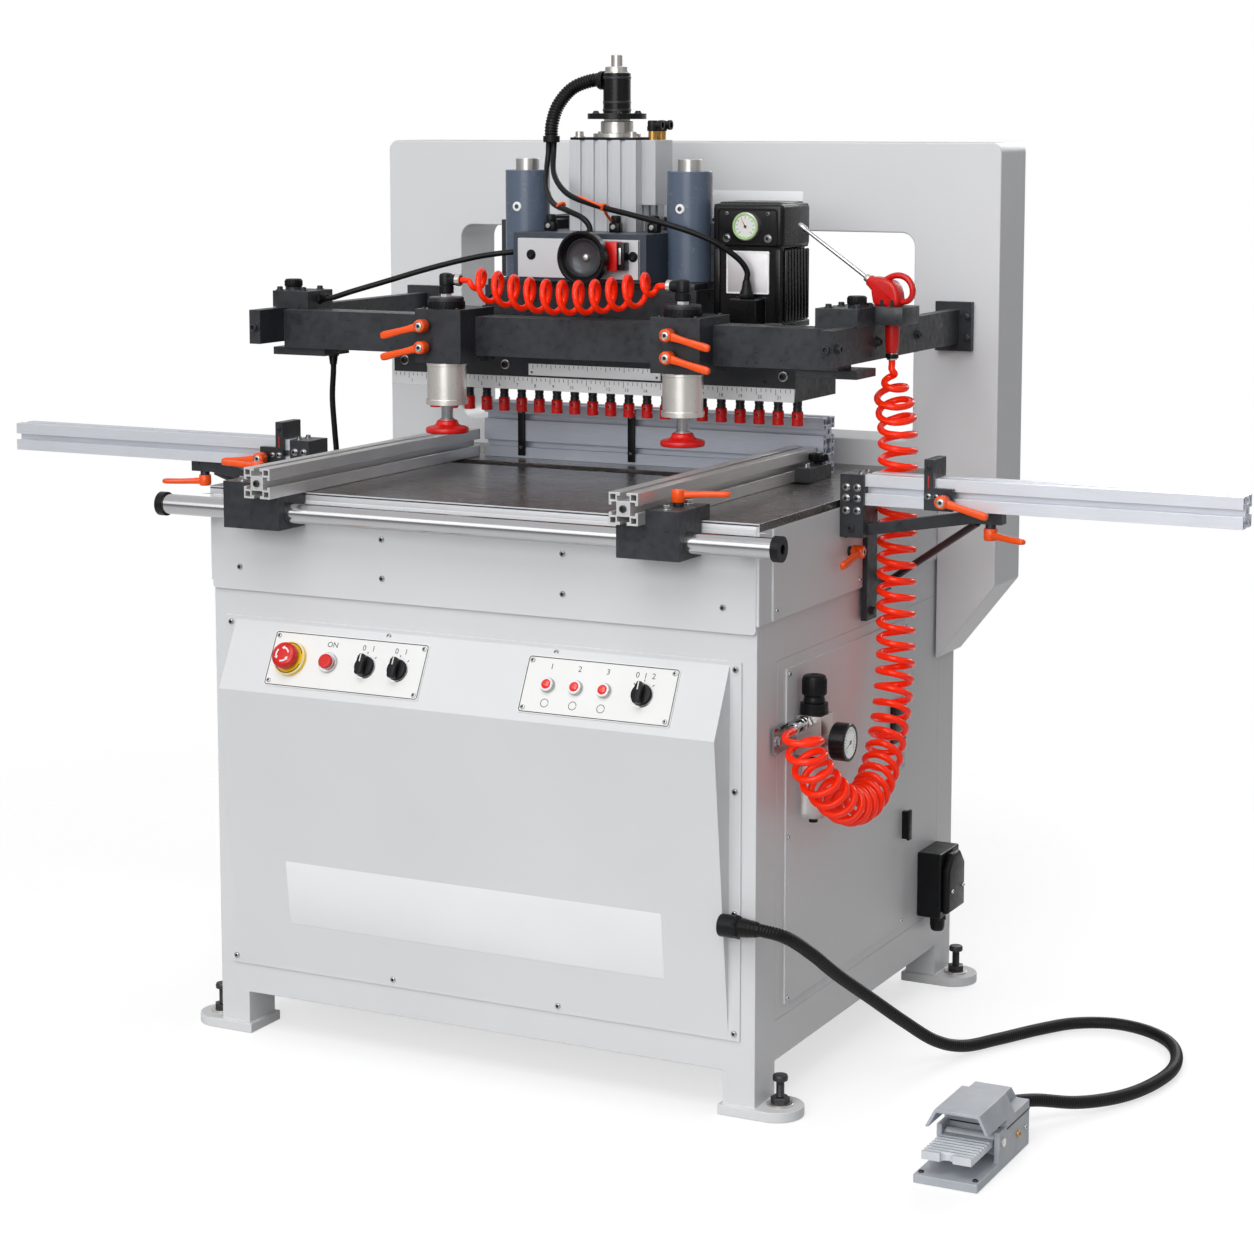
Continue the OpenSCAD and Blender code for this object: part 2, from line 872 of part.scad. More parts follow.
// Raised cover of the cabinet's front
module front_cover() {
    outer = [[skin_y, bump_low_z], [skin_y - bump_out, ridge_z], [skin_y, bump_top_z]];
    inner = [
        [front_y + over, bump_low_z + sheet_t], [skin_y, bump_low_z + sheet_t],
        [skin_y - bump_out + sheet_t, ridge_z], [skin_y, bump_top_z - sheet_t],
        [front_y + over, bump_top_z - sheet_t]
    ];
    color("whitesmoke") difference() {
        union() {
            block([-flange_w / 2, skin_y, flange_z], [flange_w / 2, front_y, flange_top]);
            prism_x(outer, -bump_w / 2, bump_w / 2);
        }
        prism_x(inner, -bump_w / 2 + sheet_t, bump_w / 2 - sheet_t);
        for (x = concat([estop_x, start_x], selector_xs)) {
            on_fascia(x) translate([0, 0, -stem_l]) cylinder(d = stem_d + 2 * slide_gap, h = 2 * stem_l);
        }
    }
}

// Place on the sloping fascia: X across, local Y up the slope, local Z out of it
module on_fascia(x) {
    translate([x, fascia_mid_y, fascia_mid_z]) rotate([90 - fascia_tilt, 0, 0]) children();
}

// Sheet housing that carries the table
module table_housing() {
    color("gainsboro") {
        difference() {
            block([-side_x, skin_y, seam_z], [side_x, back_y, housing_top]);
            block(
                [-side_x + housing_lip, skin_y + housing_lip, seam_z - over],
                [side_x - housing_lip, back_y - housing_lip, housing_top + over]
            );
        }
        translate([0, skin_y, 0]) rotate([90, 0, 0]) linear_extrude(front_panel_t) round_rect(
            [-half_w + front_panel_inset, seam_z - front_panel_drop],
            [half_w - front_panel_inset, housing_top], front_panel_r
        );
        for (s = [-1, 1]) {
            on_side(s) block(
                [side_x, side_plate_y[0], seam_z + side_plate_inset],
                [side_x + sheet_t, side_plate_y[1], housing_top]
            );
        }
        lever_stud(LEVERS[10]);
    }
}

// Plain panels of the two sides and the back
module side_panels() {
    color("gainsboro") {
        for (s = [-1, 1]) {
            on_side(s) block(
                [half_w - sheet_t, front_y + leg_d, rail_low_z], [half_w, back_y - leg_d, rail_top_z]
            );
        }
        block(
            [-half_w + leg_w, back_y - sheet_t, rail_low_z], [half_w - leg_w, back_y, rail_top_z]
        );
    }
}

// Cover of the service opening, with its hinges and latch
module service_cover() {
    color("gainsboro") {
        block([half_w, cover_y[0], cover_z[0]], [half_w + sheet_t, cover_y[1], cover_z[1]]);
        for (z = hinge_zs) {
            block([half_w + sheet_t, hinge_y[0] - hinge_t, z], [half_w + hinge_t, cover_y[1], z + hinge_h]);
        }
        block(
            [half_w + sheet_t, handle_y[0] - handle_t, handle_z[0] - hinge_h],
            [half_w + sheet_t + handle_t, handle_y[1] - handle_t, handle_z[0]]
        );
    }
}

module table_plate() {
    color("slategray") difference() {
        block([-side_x, skin_y, housing_top], [side_x, portal_y, table_z]);
        block(
            [-row_half - slot_end, spindle_y - slot_d / 2, housing_top - over],
            [row_half + slot_end, spindle_y + slot_d / 2, table_z + over]
        );
    }
}

module rear_fence() {
    color("silver") for (i = [0:rear_fence_rows - 1]) {
        profile_x(rear_fence_xs[0], rear_fence_xs[1], rear_fence_y, table_z + i * profile);
    }
}

// Portal that carries the boring head
module portal_frame() {
    foot = [
        [side_x, housing_top], [side_x, column_low_in_z],
        [portal_half, column_low_out_z], [portal_half, housing_top + portal_r]
    ];
    color("whitesmoke") {
        translate([0, portal_back, 0]) rotate([90, 0, 0]) linear_extrude(portal_d) difference() {
            union() {
                round_rect([-portal_half, housing_top], [portal_half, portal_top], portal_r);
                translate([-portal_half, housing_top]) square([2 * portal_half, 2 * portal_r]);
            }
            round_rect([-window_half, sill_top], [window_half, window_top], window_r);
        }
        for (s = [-1, 1]) {
            on_side(s) prism_y(foot, portal_y, portal_back);
        }
    }
}

// Front guide bar with its end caps and stand-offs
module guide_bar() {
    color("silver") {
        bar_x(-bar_l / 2, bar_l / 2, bar_y, bar_z, bar_d);
        for (s = [-1, 1]) {
            on_side(s) {
                difference() {
                    bar_x(bar_l / 2, bar_l / 2 + cap_l, bar_y, bar_z, cap_d);
                    bar_x(bar_l / 2 + cap_l / 2, bar_l / 2 + cap_l + over, bar_y, bar_z, cap_socket_d);
                }
                bar_y(side_x - standoff_inset, bar_y, skin_y - front_panel_t, bar_z, standoff_d);
            }
        }
    }
}

// Two arms on the portal with the clamp beam between them
module hold_down_frame() {
    color("darkslategray") {
        for (s = [-1, 1]) {
            on_side(s) {
                block([arm_in, arm_front_y, arm_z], [arm_out, portal_y, arm_top]);
                block(
                    [arm_x - flange_plate_w / 2, portal_y - flange_plate_t, arm_z - flange_plate_t],
                    [arm_x + flange_plate_w / 2, portal_y, arm_top + flange_plate_t]
                );
                block([arm_in - clip_in, clip_y[0], beam_top], [arm_in, clip_y[1], arm_top + clip_h / 2]);
                block(
                    [arm_in - clip_in, clip_y[0], arm_top],
                    [arm_out + clip_out, clip_y[1], arm_top + clip_h]
                );
                block(
                    [arm_in - clip_foot_in, clip_y[0], beam_z - clip_foot_h],
                    [arm_out + clip_out, clip_y[1], beam_z]
                );
                translate([arm_x, (clip_y[0] + clip_y[1]) / 2, arm_top + clip_h])
                    cylinder(d = clip_knob_d, h = clip_knob_h);
            }
        }
        block([-arm_in, beam_front_y, beam_z], [arm_in, beam_back_y, beam_top]);
        difference() {
            block(
                [arm_in - gun_plate_in, gun_plate_y[0], arm_top],
                [arm_out + gun_plate_out, gun_plate_y[1], arm_top + gun_plate_t]
            );
            translate([gun_grip[0], gun_grip[1], arm_top - over])
                cylinder(d = gun_grip_d + 2 * slide_gap, h = gun_plate_t + 2 * over);
        }
    }
}

// Bracket between the portal and the guide housings
module head_bracket() {
    cheek_z = [guide_housing_low, guide_housing_low + cheek_h];
    color("gainsboro") {
        block(
            [-bracket_half_w, yoke_back_y, guide_housing_low],
            [bracket_half_w, yoke_back_y + bracket_t, bracket_top]
        );
        for (s = [-1, 1]) {
            on_side(s) {
                difference() {
                    block(
                        [guide_x - cheek_w / 2 + cheek_step, guide_y, cheek_z[0]],
                        [guide_x + cheek_w / 2, yoke_back_y, cheek_z[1]]
                    );
                    translate([guide_x, guide_y, cheek_z[0] - over])
                        cylinder(d = guide_housing_d + 2 * fit_gap, h = cheek_h + 2 * over);
                }
                block(
                    [gusset_x, yoke_back_y + bracket_t, window_top - bracket_t],
                    [gusset_x + gusset_t, portal_y, bracket_top]
                );
            }
        }
    }
}

// Block between the guide housings that carries the cylinder
module head_yoke() {
    color("dimgray") difference() {
        union() {
            block([-yoke_half_w, yoke_front_y, yoke_low], [yoke_half_w, yoke_back_y, yoke_top]);
            block(
                [-yoke_plate_half_w, yoke_front_y - yoke_plate_t, yoke_low + yoke_plate_t],
                [yoke_plate_half_w, yoke_front_y, yoke_low + yoke_plate_t + yoke_plate_h]
            );
        }
        for (s = [-1, 1]) {
            translate([s * guide_x, guide_y, yoke_low - over])
                cylinder(d = guide_housing_d + 2 * fit_gap, h = yoke_top - yoke_low + 2 * over);
            on_side(s) block(
                [guide_x - cheek_w / 2 + cheek_step, guide_y, yoke_low - over],
                [yoke_half_w + over, yoke_back_y + over, yoke_top + over]
            );
        }
        translate([0, air_y, yoke_low - over])
            cylinder(d = piston_rod_d + 2 * fit_gap, h = yoke_top - yoke_low + 2 * over);
    }
}

module guide_housings() {
    color("slategray") for (s = [-1, 1]) {
        translate([s * guide_x, guide_y, guide_housing_low]) difference() {
            cylinder(d = guide_housing_d, h = guide_housing_top - guide_housing_low);
            translate([0, 0, -over]) cylinder(
                d = guide_d + 2 * fit_gap, h = guide_housing_top - guide_housing_low + 2 * over
            );
        }
    }
}

// Ribbed air cylinder with the stroke stop's sleeve on top
module air_cylinder() {
    rib_w = air_w / rib_n;
    color("silver") {
        difference() {
            translate([0, air_y, yoke_top]) linear_extrude(air_top - yoke_top) difference() {
                square([air_w, air_d], center = true);
                for (i = [1:rib_n - 1], s = [-1, 1]) {
                    translate([i * rib_w - air_w / 2, s * air_d / 2])
                        square([rib_w * rib_gap_share, 2 * rib_depth], center = true);
                }
                for (i = [1:rib_n - 2], s = [-1, 1]) {
                    translate([s * air_w / 2, (i - (rib_n - 1) / 2) * rib_w])
                        square([2 * rib_depth, rib_w * rib_gap_share], center = true);
                }
            }
            translate([0, air_y, yoke_top + air_wall])
                cylinder(d = air_bore_d + 2 * fit_gap, h = air_top - yoke_top - 2 * air_wall);
            translate([0, air_y, yoke_top - over])
                cylinder(d = piston_rod_d + 2 * fit_gap, h = 2 * air_wall);
        }
        translate([0, air_y, air_top]) cylinder(d = flange_cap_d, h = flange_cap_h);
        translate([0, air_y, stack_z]) cylinder(d = nut_d, h = nut_h, $fn = 6);
        translate([0, air_y, disc_z]) cylinder(d = disc_d, h = disc_h);
        translate([0, air_y, sleeve_z]) difference() {
            cylinder(d = sleeve_top_d, h = sleeve_top_h);
            translate([0, 0, sleeve_top_h - spigot_l - over])
                cylinder(d = spigot_d + 2 * fit_gap, h = spigot_l + 2 * over);
        }
        block(
            [air_w / 2, air_y - valve_d / 2, air_top - valve_h],
            [air_w / 2 + valve_w, air_y + valve_d / 2, air_top]
        );
        for (s = [-1, 1]) {
            translate([air_w / 2 + valve_w / 2, air_y + s * valve_d / 4, air_top])
                cylinder(d = port_d, h = port_l);
        }
    }
}

// Turning end of the stroke stop
module depth_knob() {
    color("silver") translate([0, air_y, knob_z]) {
        translate([0, 0, -spigot_l]) cylinder(d = spigot_d, h = spigot_l + hex_h);
        translate([0, 0, slide_gap]) cylinder(d = hex_d, h = hex_h, $fn = 6);
        translate([0, 0, hex_h]) cylinder(d = tip_rod_d, h = tip_rod_h);
    }
}

// Round warning horn with its open mouth to the front
module warning_horn() {
    y0 = yoke_front_y - yoke_plate_t;
    color("black") difference() {
        union() {
            bar_y(horn_x, y0 - horn_l, y0 - horn_l + horn_depth, horn_z, horn_d);
            bar_y(horn_x, y0 - horn_l + horn_depth, y0, horn_z, horn_body_d);
        }
        bar_y(horn_x, y0 - horn_l - over, y0 - horn_l + horn_depth / 2, horn_z, horn_d * horn_cone_share);
    }
}

module extension_rails() {
    color("silver") for (s = [-1, 1]) {
        on_side(s) profile_x(rail_x, rail_x + rail_l, rail_y, rail_z);
    }
}

// Brackets, arms and struts that carry the extension rails
module rail_supports() {
    arm_y = rail_y + profile / 2;
    arm = [
        [side_x + sheet_t, rail_z - arm_bar_low], [arm_bar_x - 2 * arm_bar_d, rail_z - arm_bar_high],
        [arm_bar_x, rail_z - arm_bar_high], [arm_bar_x, rail_z], [arm_bar_x - 2 * arm_bar_d, rail_z],
        [side_x + sheet_t, rail_z - arm_bar_low + arm_bar_h]
    ];
    color("black") for (s = [-1, 1]) {
        on_side(s) {
            block(
                [side_x + sheet_t, rail_y - support_front, rail_z - support_drop],
                [rail_x, rail_y + profile + support_front, rail_z + profile]
            );
            prism_y(arm, arm_y - arm_bar_d / 2, arm_y + arm_bar_d / 2);
            block([side_x, post_y[0], post_z[0]], [side_x + post_t, post_y[1], post_z[1]]);
            block(
                [side_x, post_y[1], strut_foot_z - strut_d],
                [side_x + post_t, strut_foot_y + strut_d, strut_foot_z + strut_d]
            );
            bar_between(
                [side_x + post_t / 2, strut_foot_y, strut_foot_z],
                [strut_head_x, arm_y, rail_z - arm_bar_high], strut_d
            );
        }
    }
    color("black") {
        lever_stud(LEVERS[8]);
        lever_stud(LEVERS[9]);
    }
}

// Plates, collars, bezels and lamps on the fascia
module control_panels() {
    color("white") {
        for (p = [[left_plate_x, left_plate_w], [right_plate_x, right_plate_w]]) {
            difference() {
                on_fascia(p[0]) linear_extrude(plate_t)
                    round_rect([-p[1] / 2, -plate_h / 2], [p[1] / 2, plate_h / 2], plate_r);
                for (x = concat([estop_x, start_x], selector_xs)) {
                    on_fascia(x) translate([0, 0, -over])
                        cylinder(d = stem_d + 2 * slide_gap, h = plate_t + 2 * over);
                }
            }
        }
        on_fascia(estop_x) control_ring(collar_d, collar_h);
        on_fascia(start_x) control_ring(bezel_d, bezel_h);
        for (x = lamp_xs) {
            on_fascia(x) translate([0, 0, plate_t]) cylinder(d = lamp_d, h = lamp_h);
        }
    }
}

module control_ring(d, h) {
    translate([0, 0, plate_t]) difference() {
        cylinder(d = d, h = h);
        translate([0, 0, -over]) cylinder(d = stem_d + 2 * slide_gap, h = h + 2 * over);
    }
}

module stem(top) {
    translate([0, 0, -stem_l / 2]) cylinder(d = stem_d, h = stem_l / 2 + top);
}

module estop_button() {
    head_z = plate_t + collar_h + estop_travel + slide_gap;
    color("red") on_fascia(estop_x) {
        stem(head_z + estop_head_h / 2);
        translate([0, 0, head_z]) cylinder(d = estop_d, h = estop_head_h);
    }
}

module start_button() {
    head_z = plate_t + bezel_h + button_travel + slide_gap;
    color("red") on_fascia(start_x) {
        stem(head_z);
        translate([0, 0, head_z]) cylinder(d = button_d, h = bezel_h);
    }
}

module selector(i) {
    color("black") on_fascia(selector_xs[i]) {
        stem(plate_t + knob_base_h);
        translate([0, 0, plate_t + slide_gap]) cylinder(d = selector_d, h = knob_base_h);
        translate([0, 0, plate_t + slide_gap]) intersection() {
            cylinder(d = selector_d, h = knob_bar_h);
            translate([-knob_bar_w / 2, -selector_d / 2, 0]) cube([knob_bar_w, selector_d, knob_bar_h]);
        }
    }
}

module selector_1() { selector(0); }
module selector_2() { selector(1); }
module selector_3() { selector(2); }

// Air filter and regulator on the cabinet's right side
module regulator_body() {
    color("gray") difference() {
        union() {
            block(
                [half_w + sheet_t, frl_plate_y[0], frl_plate_z[0]],
                [side_x + sheet_t, frl_plate_y[1], frl_plate_z[1]]
            );
            block([side_x, frl_y[0], frl_z[0]], [frl_x, frl_y[1], frl_z[1]]);
            translate([frl_mid_x, frl_mid_y, frl_z[0] - bowl_h]) cylinder(d = bowl_d, h = bowl_h);
            translate([frl_mid_x, frl_mid_y, frl_z[0] - bowl_h - bowl_tip_h])
                cylinder(d = bowl_tip_d, h = bowl_tip_h);
            translate([frl_mid_x, frl_mid_y, frl_z[1]]) cylinder(d = collar_ring_d, h = collar_ring_h);
            bar_y(air_end[0], frl_y[0] - outlet_l, frl_y[0], air_end[2], outlet_d);
            bar_x(frl_x, frl_x + dial_stub_l, frl_mid_y, dial_z, dial_stub_d);
            bar_x(frl_x + dial_stub_l, frl_x + dial_stub_l + dial_l, frl_mid_y, dial_z, dial_d);
        }
        translate([frl_mid_x, frl_mid_y, frl_z[1] + collar_ring_h - spigot_l])
            cylinder(d = spigot_d + 2 * fit_gap, h = spigot_l + over);
        bar_y(frl_mid_x, frl_y[1] - inlet_port_l, frl_y[1] + over, dial_z, inlet_port_d);
    }
}

module regulator_knob() {
    z = frl_z[1] + collar_ring_h;
    color("black") translate([frl_mid_x, frl_mid_y, z]) {
        translate([0, 0, -spigot_l + slide_gap]) cylinder(d = spigot_d, h = spigot_l + over);
        translate([0, 0, slide_gap]) cylinder(d = reg_knob_d, h = reg_knob_h);
    }
}

// Power inlet box with its gland, and the gland of the foot hose
module inlet_fittings() {
    color("black") {
        block([half_w, inlet_y[0], inlet_z[0]], [half_w + inlet_depth, inlet_y[1], inlet_z[1]]);
        translate([half_w + inlet_depth / 2, (inlet_y[0] + inlet_y[1]) / 2, inlet_z[0] - inlet_gland_h])
            cylinder(d = inlet_gland_d, h = inlet_gland_h);
        bar_x(bump_w / 2, bump_w / 2 + foot_gland_l, foot_gland_y, foot_gland_z, foot_gland_d);
    }
}

// Foot pedal: base, rear body, hood and the ears with the hinge pin
module pedal_housing() {
    x0 = pedal_x - pedal_w / 2;
    x1 = pedal_x + pedal_w / 2;
    body_y = pedal_back_y - pedal_body_l;
    half = pedal_w / 2;
    top = pedal_body_h + hood_h;
    hood_y = [body_y - hood_l, body_y + pedal_body_l * hood_back_share];
    hood = [
        [-half, pedal_body_h], [-half * hood_top_share, top], [half * hood_top_share, top],
        [half, pedal_body_h], [half - hood_t, pedal_body_h],
        [half * hood_top_share - hood_t / 2, top - hood_t],
        [hood_t / 2 - half * hood_top_share, top - hood_t],
        [hood_t - half, pedal_body_h]
    ];
    crown = [
        [body_y, pedal_body_h], [pedal_back_y, pedal_body_h],
        [pedal_back_y - crown_slope, top - hood_t], [body_y, top - hood_t]
    ];
    color("gray") {
        block([x0, pedal_front_y, 0], [x1, pedal_back_y, pedal_base_h]);
        block([x0, body_y, pedal_base_h], [x1, pedal_back_y, pedal_body_h]);
        translate([pedal_x, 0, 0]) prism_y(hood, hood_y[0], hood_y[1]);
        prism_x(crown, pedal_x - half * hood_top_share + hood_t, pedal_x + half * hood_top_share - hood_t);
        for (x = [x0, x1 - pedal_wall]) {
            block([x, pin_y - ear_l / 2, pedal_base_h], [x + pedal_wall, body_y, ear_h + pedal_base_h]);
        }
        bar_x(x0, x1, pin_y, pin_z, hinge_pin_d);
        bar_y(pedal_x, pedal_back_y, pedal_back_y + pedal_gland_l, pedal_gland_z, pedal_gland_d);
    }
}

module treadle() {
    x0 = pedal_x - pedal_w / 2 + pedal_wall + treadle_gap;
    x1 = pedal_x + pedal_w / 2 - pedal_wall - treadle_gap;
    y0 = pedal_front_y + treadle_front_gap;
    top = pin_z + treadle_t / 2;
    rib_step = (pin_y - treadle_boss_d - y0) / treadle_rib_n;
    color("silver") difference() {
        union() {
            block([x0, y0, top - treadle_t], [x1, pin_y, top]);
            bar_x(x0, x1, pin_y, pin_z, treadle_boss_d);
            for (i = [0:treadle_rib_n - 1]) {
                block(
                    [x0, y0 + i * rib_step, top],
                    [x1, y0 + (i + treadle_rib_share) * rib_step, top + treadle_rib_h]
                );
            }
        }
        bar_x(x0 - over, x1 + over, pin_y, pin_z, hinge_pin_d + 2 * fit_gap);
        translate([pedal_x, y0, top - treadle_t - over]) cylinder(d = treadle_notch, h = 2 * treadle_t);
    }
}

module foot_hose() {
    color("black") ribbed_hose(
        foot_hose_route, foot_hose_d, foot_hose_d * hose_rib_share,
        foot_hose_d * hose_bore_share, foot_ribs, 2
    );
}
hose_rib_share = 0.07;
hose_bore_share = 0.6;

// Curly air hose: a helix round a hanging axis, drawn in to the axis at the gun
air_end_phase = 180;
air_lead_share = 0.06;
air_r = (air_coil_d - air_tube_d) / 2;
air_steps = air_curls * steps_per_curl;
air_line = evenly(route(air_axis, 8), air_steps);
air_line_t = tangents(air_line);
function eased(t) = let (u = min(max(t, 0), 1)) u * u * (3 - 2 * u);
function air_point(i) = let (
        a = air_end_phase + 360 * (i - air_steps) / steps_per_curl,
        u = unit([1, 0, 0] - air_line_t[i][0] * air_line_t[i]),
        v = cross(air_line_t[i], u),
        r = air_r * eased(i / air_steps / air_lead_share)
    ) air_line[i] + r * (cos(a) * u - sin(a) * v);
air_end = air_point(air_steps);
air_points = concat(
    [air_axis[0] + [0, 0, air_tube_d]],
    [for (i = [0:air_steps]) air_point(i)],
    [air_end + [0, air_tube_d / 2, 0], [air_end[0], frl_y[0] - outlet_l, air_end[2]]]
);

module air_hose() {
    echo(air_hose_least_gap = least_gap(air_points, air_tube_d, steps_per_curl - 2));
    color("orangered") tube(air_points, [for (p = air_points) air_tube_d / 2], coil_sides);
}

// Blow gun in its holder plate, with the hose below and a thin nozzle
gun_tail = air_axis[0] + [0, 0, air_tube_d];
gun_grip = [gun_tail[0], gun_tail[1]];
gun_grip_d = 22;
gun_grip_l = 84;
gun_head_l = 40;
gun_nozzle_reach = [-160, 24, 190];
gun_nozzle = gun_tail + gun_nozzle_reach;
gun_nozzle_d = 6;
gun_neck_d = 15;
gun_collar_d = 30;
gun_collar_h = 8;

module air_gun() {
    top = gun_tail + [0, 0, gun_grip_l];
    mouth = top + unit(gun_nozzle - top) * gun_head_l;
    color("red") {
        bar_between(gun_tail, top, gun_grip_d);
        translate(top) sphere(d = gun_grip_d);
        translate([gun_grip[0], gun_grip[1], arm_top + gun_plate_t])
            cylinder(d = gun_collar_d, h = gun_collar_h);
        bar_between(top, mouth, gun_neck_d);
        bar_between(mouth, gun_nozzle, gun_nozzle_d);
    }
}

// Conduit at the top and the cables that both end on fixed pieces
module head_cables() {
    color("black") {
        ribbed_hose(
            conduit_route, conduit_d, conduit_d * hose_rib_share,
            conduit_d * conduit_bore_share, conduit_ribs, 2
        );
        cable(horn_cable_route);
        cable(side_cable_route);
        cable(drop_cable_route);
    }
}
conduit_bore_share = 0.6;

module motor_cable() {
    color("black") cable(motor_cable_route);
}

// Curly hose between the two clamps, in two halves that meet in the middle
clamp_r = (clamp_coil_d - clamp_tube_d) / 2;
clamp_from = [left_clamp_x + elbow_l, clamp_hose_y, elbow_z];
clamp_to = [right_clamp_x - elbow_l, clamp_hose_y, elbow_z];
clamp_lead_share = 0.1;
clamp_steps = clamp_curls * steps_per_curl;
function clamp_point(i) = let (
        s = i / clamp_steps,
        a = 360 * i / steps_per_curl,
        r = clamp_r * eased(s / clamp_lead_share) * eased((1 - s) / clamp_lead_share),
        lead = [clamp_tube_d, 0, 0],
        axis = clamp_from + lead + (clamp_to - clamp_from - 2 * lead) * s - [0, 0, clamp_sag * sin(180 * s)]
    ) axis + r * [0, -sin(a), cos(a)];
clamp_points = concat([clamp_from], [for (i = [0:clamp_steps]) clamp_point(i)], [clamp_to]);
clamp_middle = floor(len(clamp_points) / 2);

// Half of the tube, with its rings cut from the whole tube's
module clamp_half(first, last) {
    whole = rings(clamp_points, [for (p = clamp_points) clamp_tube_d / 2], coil_sides);
    count = last - first + 1;
    end = (count - 1) * coil_sides;
    color("orangered") polyhedron(
        [for (i = [first * coil_sides:(last + 1) * coil_sides - 1]) whole[i]],
        concat(
            walls(0, count, coil_sides),
            [for (k = [1:coil_sides - 2]) [0, k, k + 1]],
            [for (k = [1:coil_sides - 2]) [end, end + k + 1, end + k]]
        )
    );
}

module left_clamp_hose() {
    echo(clamp_hose_least_gap = least_gap(clamp_points, clamp_tube_d, steps_per_curl - 2));
    clamp_half(0, clamp_middle);
}

module right_clamp_hose() {
    clamp_half(clamp_middle, len(clamp_points) - 1);
}

// Gearbox with the block that the guide rods stand in
module gearbox() {
    x1 = row_half + box_end;
    color("dimgray") difference() {
        union() {
            block([-x1, spindle_y - box_front, box_z], [x1, spindle_y + box_back, box_top]);
            block(
                [-block_half_w, guide_y - block_front, box_top],
                [block_half_w, guide_y + block_back, block_top]
            );
            block(
                [-x1, spindle_y - box_front - strip_t, box_z],
                [x1, spindle_y - box_front, box_z + strip_h]
            );
        }
        block(
            [-row_half - pitch / 2 - box_wall, spindle_y - pitch, box_z + box_wall],
            [row_half + pitch / 2 + box_wall, spindle_y + pitch, box_top - box_wall]
        );
        for (i = [0:spindles_n - 1]) {
            translate([i * pitch - row_half, spindle_y, box_z - over])
                cylinder(d = spindle_stem_d + 2 * fit_gap, h = box_wall + 2 * over);
        }
        for (s = [-1, 1]) {
            translate([s * guide_x, guide_y, block_top - guide_sink])
                cylinder(d = guide_d + 2 * fit_gap, h = guide_sink + over);
        }
        translate([0, air_y, block_top - guide_sink / 2])
            cylinder(d = piston_rod_d + 2 * fit_gap, h = guide_sink);
    }
}

// Spindles with their sleeves, drill sockets and gears
module spindles() {
    color("firebrick") for (i = [0:spindles_n - 1]) {
        translate([i * pitch - row_half, spindle_y, tip_z]) difference() {
            union() {
                cylinder(d = sleeve_d, h = sleeve_h);
                cylinder(d = spindle_stem_d, h = sleeve_h + stem_h + box_wall + gear_low + gear_h);
                translate([0, 0, sleeve_h + stem_h + box_wall + gear_low])
                    cylinder(d = pitch - gear_gap, h = gear_h);
            }
            translate([0, 0, -over]) cylinder(d = shank_d + 2 * fit_gap, h = bit_depth + over);
        }
    }
}

// Motor with its fins, top cover, gauge and terminal box
module motor() {
    x1 = motor_x + motor_w;
    fin_step = (motor_h - motor_cover_h) / fin_n;
    color("black") {
        block(
            [motor_x + motor_inset, motor_y[0] + motor_inset, box_top],
            [x1 - motor_inset, motor_y[1], motor_low]
        );
        difference() {
            block([motor_x, motor_y[0], motor_low], [x1, motor_y[1], motor_top]);
            for (i = [0:fin_n - 1]) {
                block(
                    [x1 - fin_depth, motor_y[0] + motor_inset, motor_low + (i + fin_share) * fin_step],
                    [x1 + over, motor_y[1] + over, motor_low + (i + 1) * fin_step]
                );
            }
        }
        block(
            [terminal_x, motor_y[0] - terminal_d, motor_low],
            [terminal_x + terminal_w, motor_y[0], motor_low + terminal_h]
        );
        translate(motor_gland - [0, 0, gland_h]) cylinder(d = gland_d, h = gland_h);
        bar_y(
            motor_x + motor_w / 2, motor_y[0] - gauge_h, motor_y[0], motor_top - motor_cover_h / 2, gauge_d
        );
    }
}

// Guide rods and the cylinder's piston rod
module guide_rods() {
    piston_z = air_top - air_wall - piston_h - over;
    color("silver") {
        for (s = [-1, 1]) {
            translate([s * guide_x, guide_y, block_top - guide_sink])
                cylinder(d = guide_d, h = guide_top - block_top + guide_sink);
        }
        translate([0, air_y, block_top - guide_sink / 2])
            cylinder(d = piston_rod_d, h = piston_z - block_top + guide_sink / 2);
        translate([0, air_y, piston_z]) cylinder(d = air_bore_d, h = piston_h);
    }
}

// Clamp carrier on the beam, with its cylinder below and its air elbow on top
module clamp_carrier(x, s, upper, lower) {
    gap = slide_gap;
    color("dimgray") {
        difference() {
            union() {
                block(
                    [x - carrier_w / 2, carrier_front_y, carrier_low],
                    [x + carrier_w / 2, carrier_back_y, carrier_top]
                );
                translate([x, clamp_y, barrel_low]) cylinder(d = barrel_d, h = carrier_low - barrel_low);
                translate([x, clamp_y, barrel_low]) cylinder(d = barrel_ring_d, h = barrel_ring_h);
            }
            block(
                [x - carrier_w / 2 - over, beam_front_y - gap, beam_z - gap],
                [x + carrier_w / 2 + over, beam_back_y + gap, beam_top + gap]
            );
            translate([x, clamp_y, barrel_low - over])
                cylinder(d = clamp_rod_d + 2 * fit_gap, h = beam_top - barrel_low + over);
        }
        translate([x, clamp_y, carrier_top]) cylinder(d = puck_d, h = puck_h);
        translate([x, clamp_y, carrier_top + puck_h])
            cylinder(d = post_d, h = elbow_z - carrier_top - puck_h + elbow_d / 2);
        bar_x(min(x, x + s * elbow_l), max(x, x + s * elbow_l), clamp_y, elbow_z, elbow_d);
        lever_stud(LEVERS[upper]);
        lever_stud(LEVERS[lower]);
    }
}

module left_clamp_carrier() { clamp_carrier(left_clamp_x, 1, 0, 1); }
module right_clamp_carrier() { clamp_carrier(right_clamp_x, -1, 2, 3); }

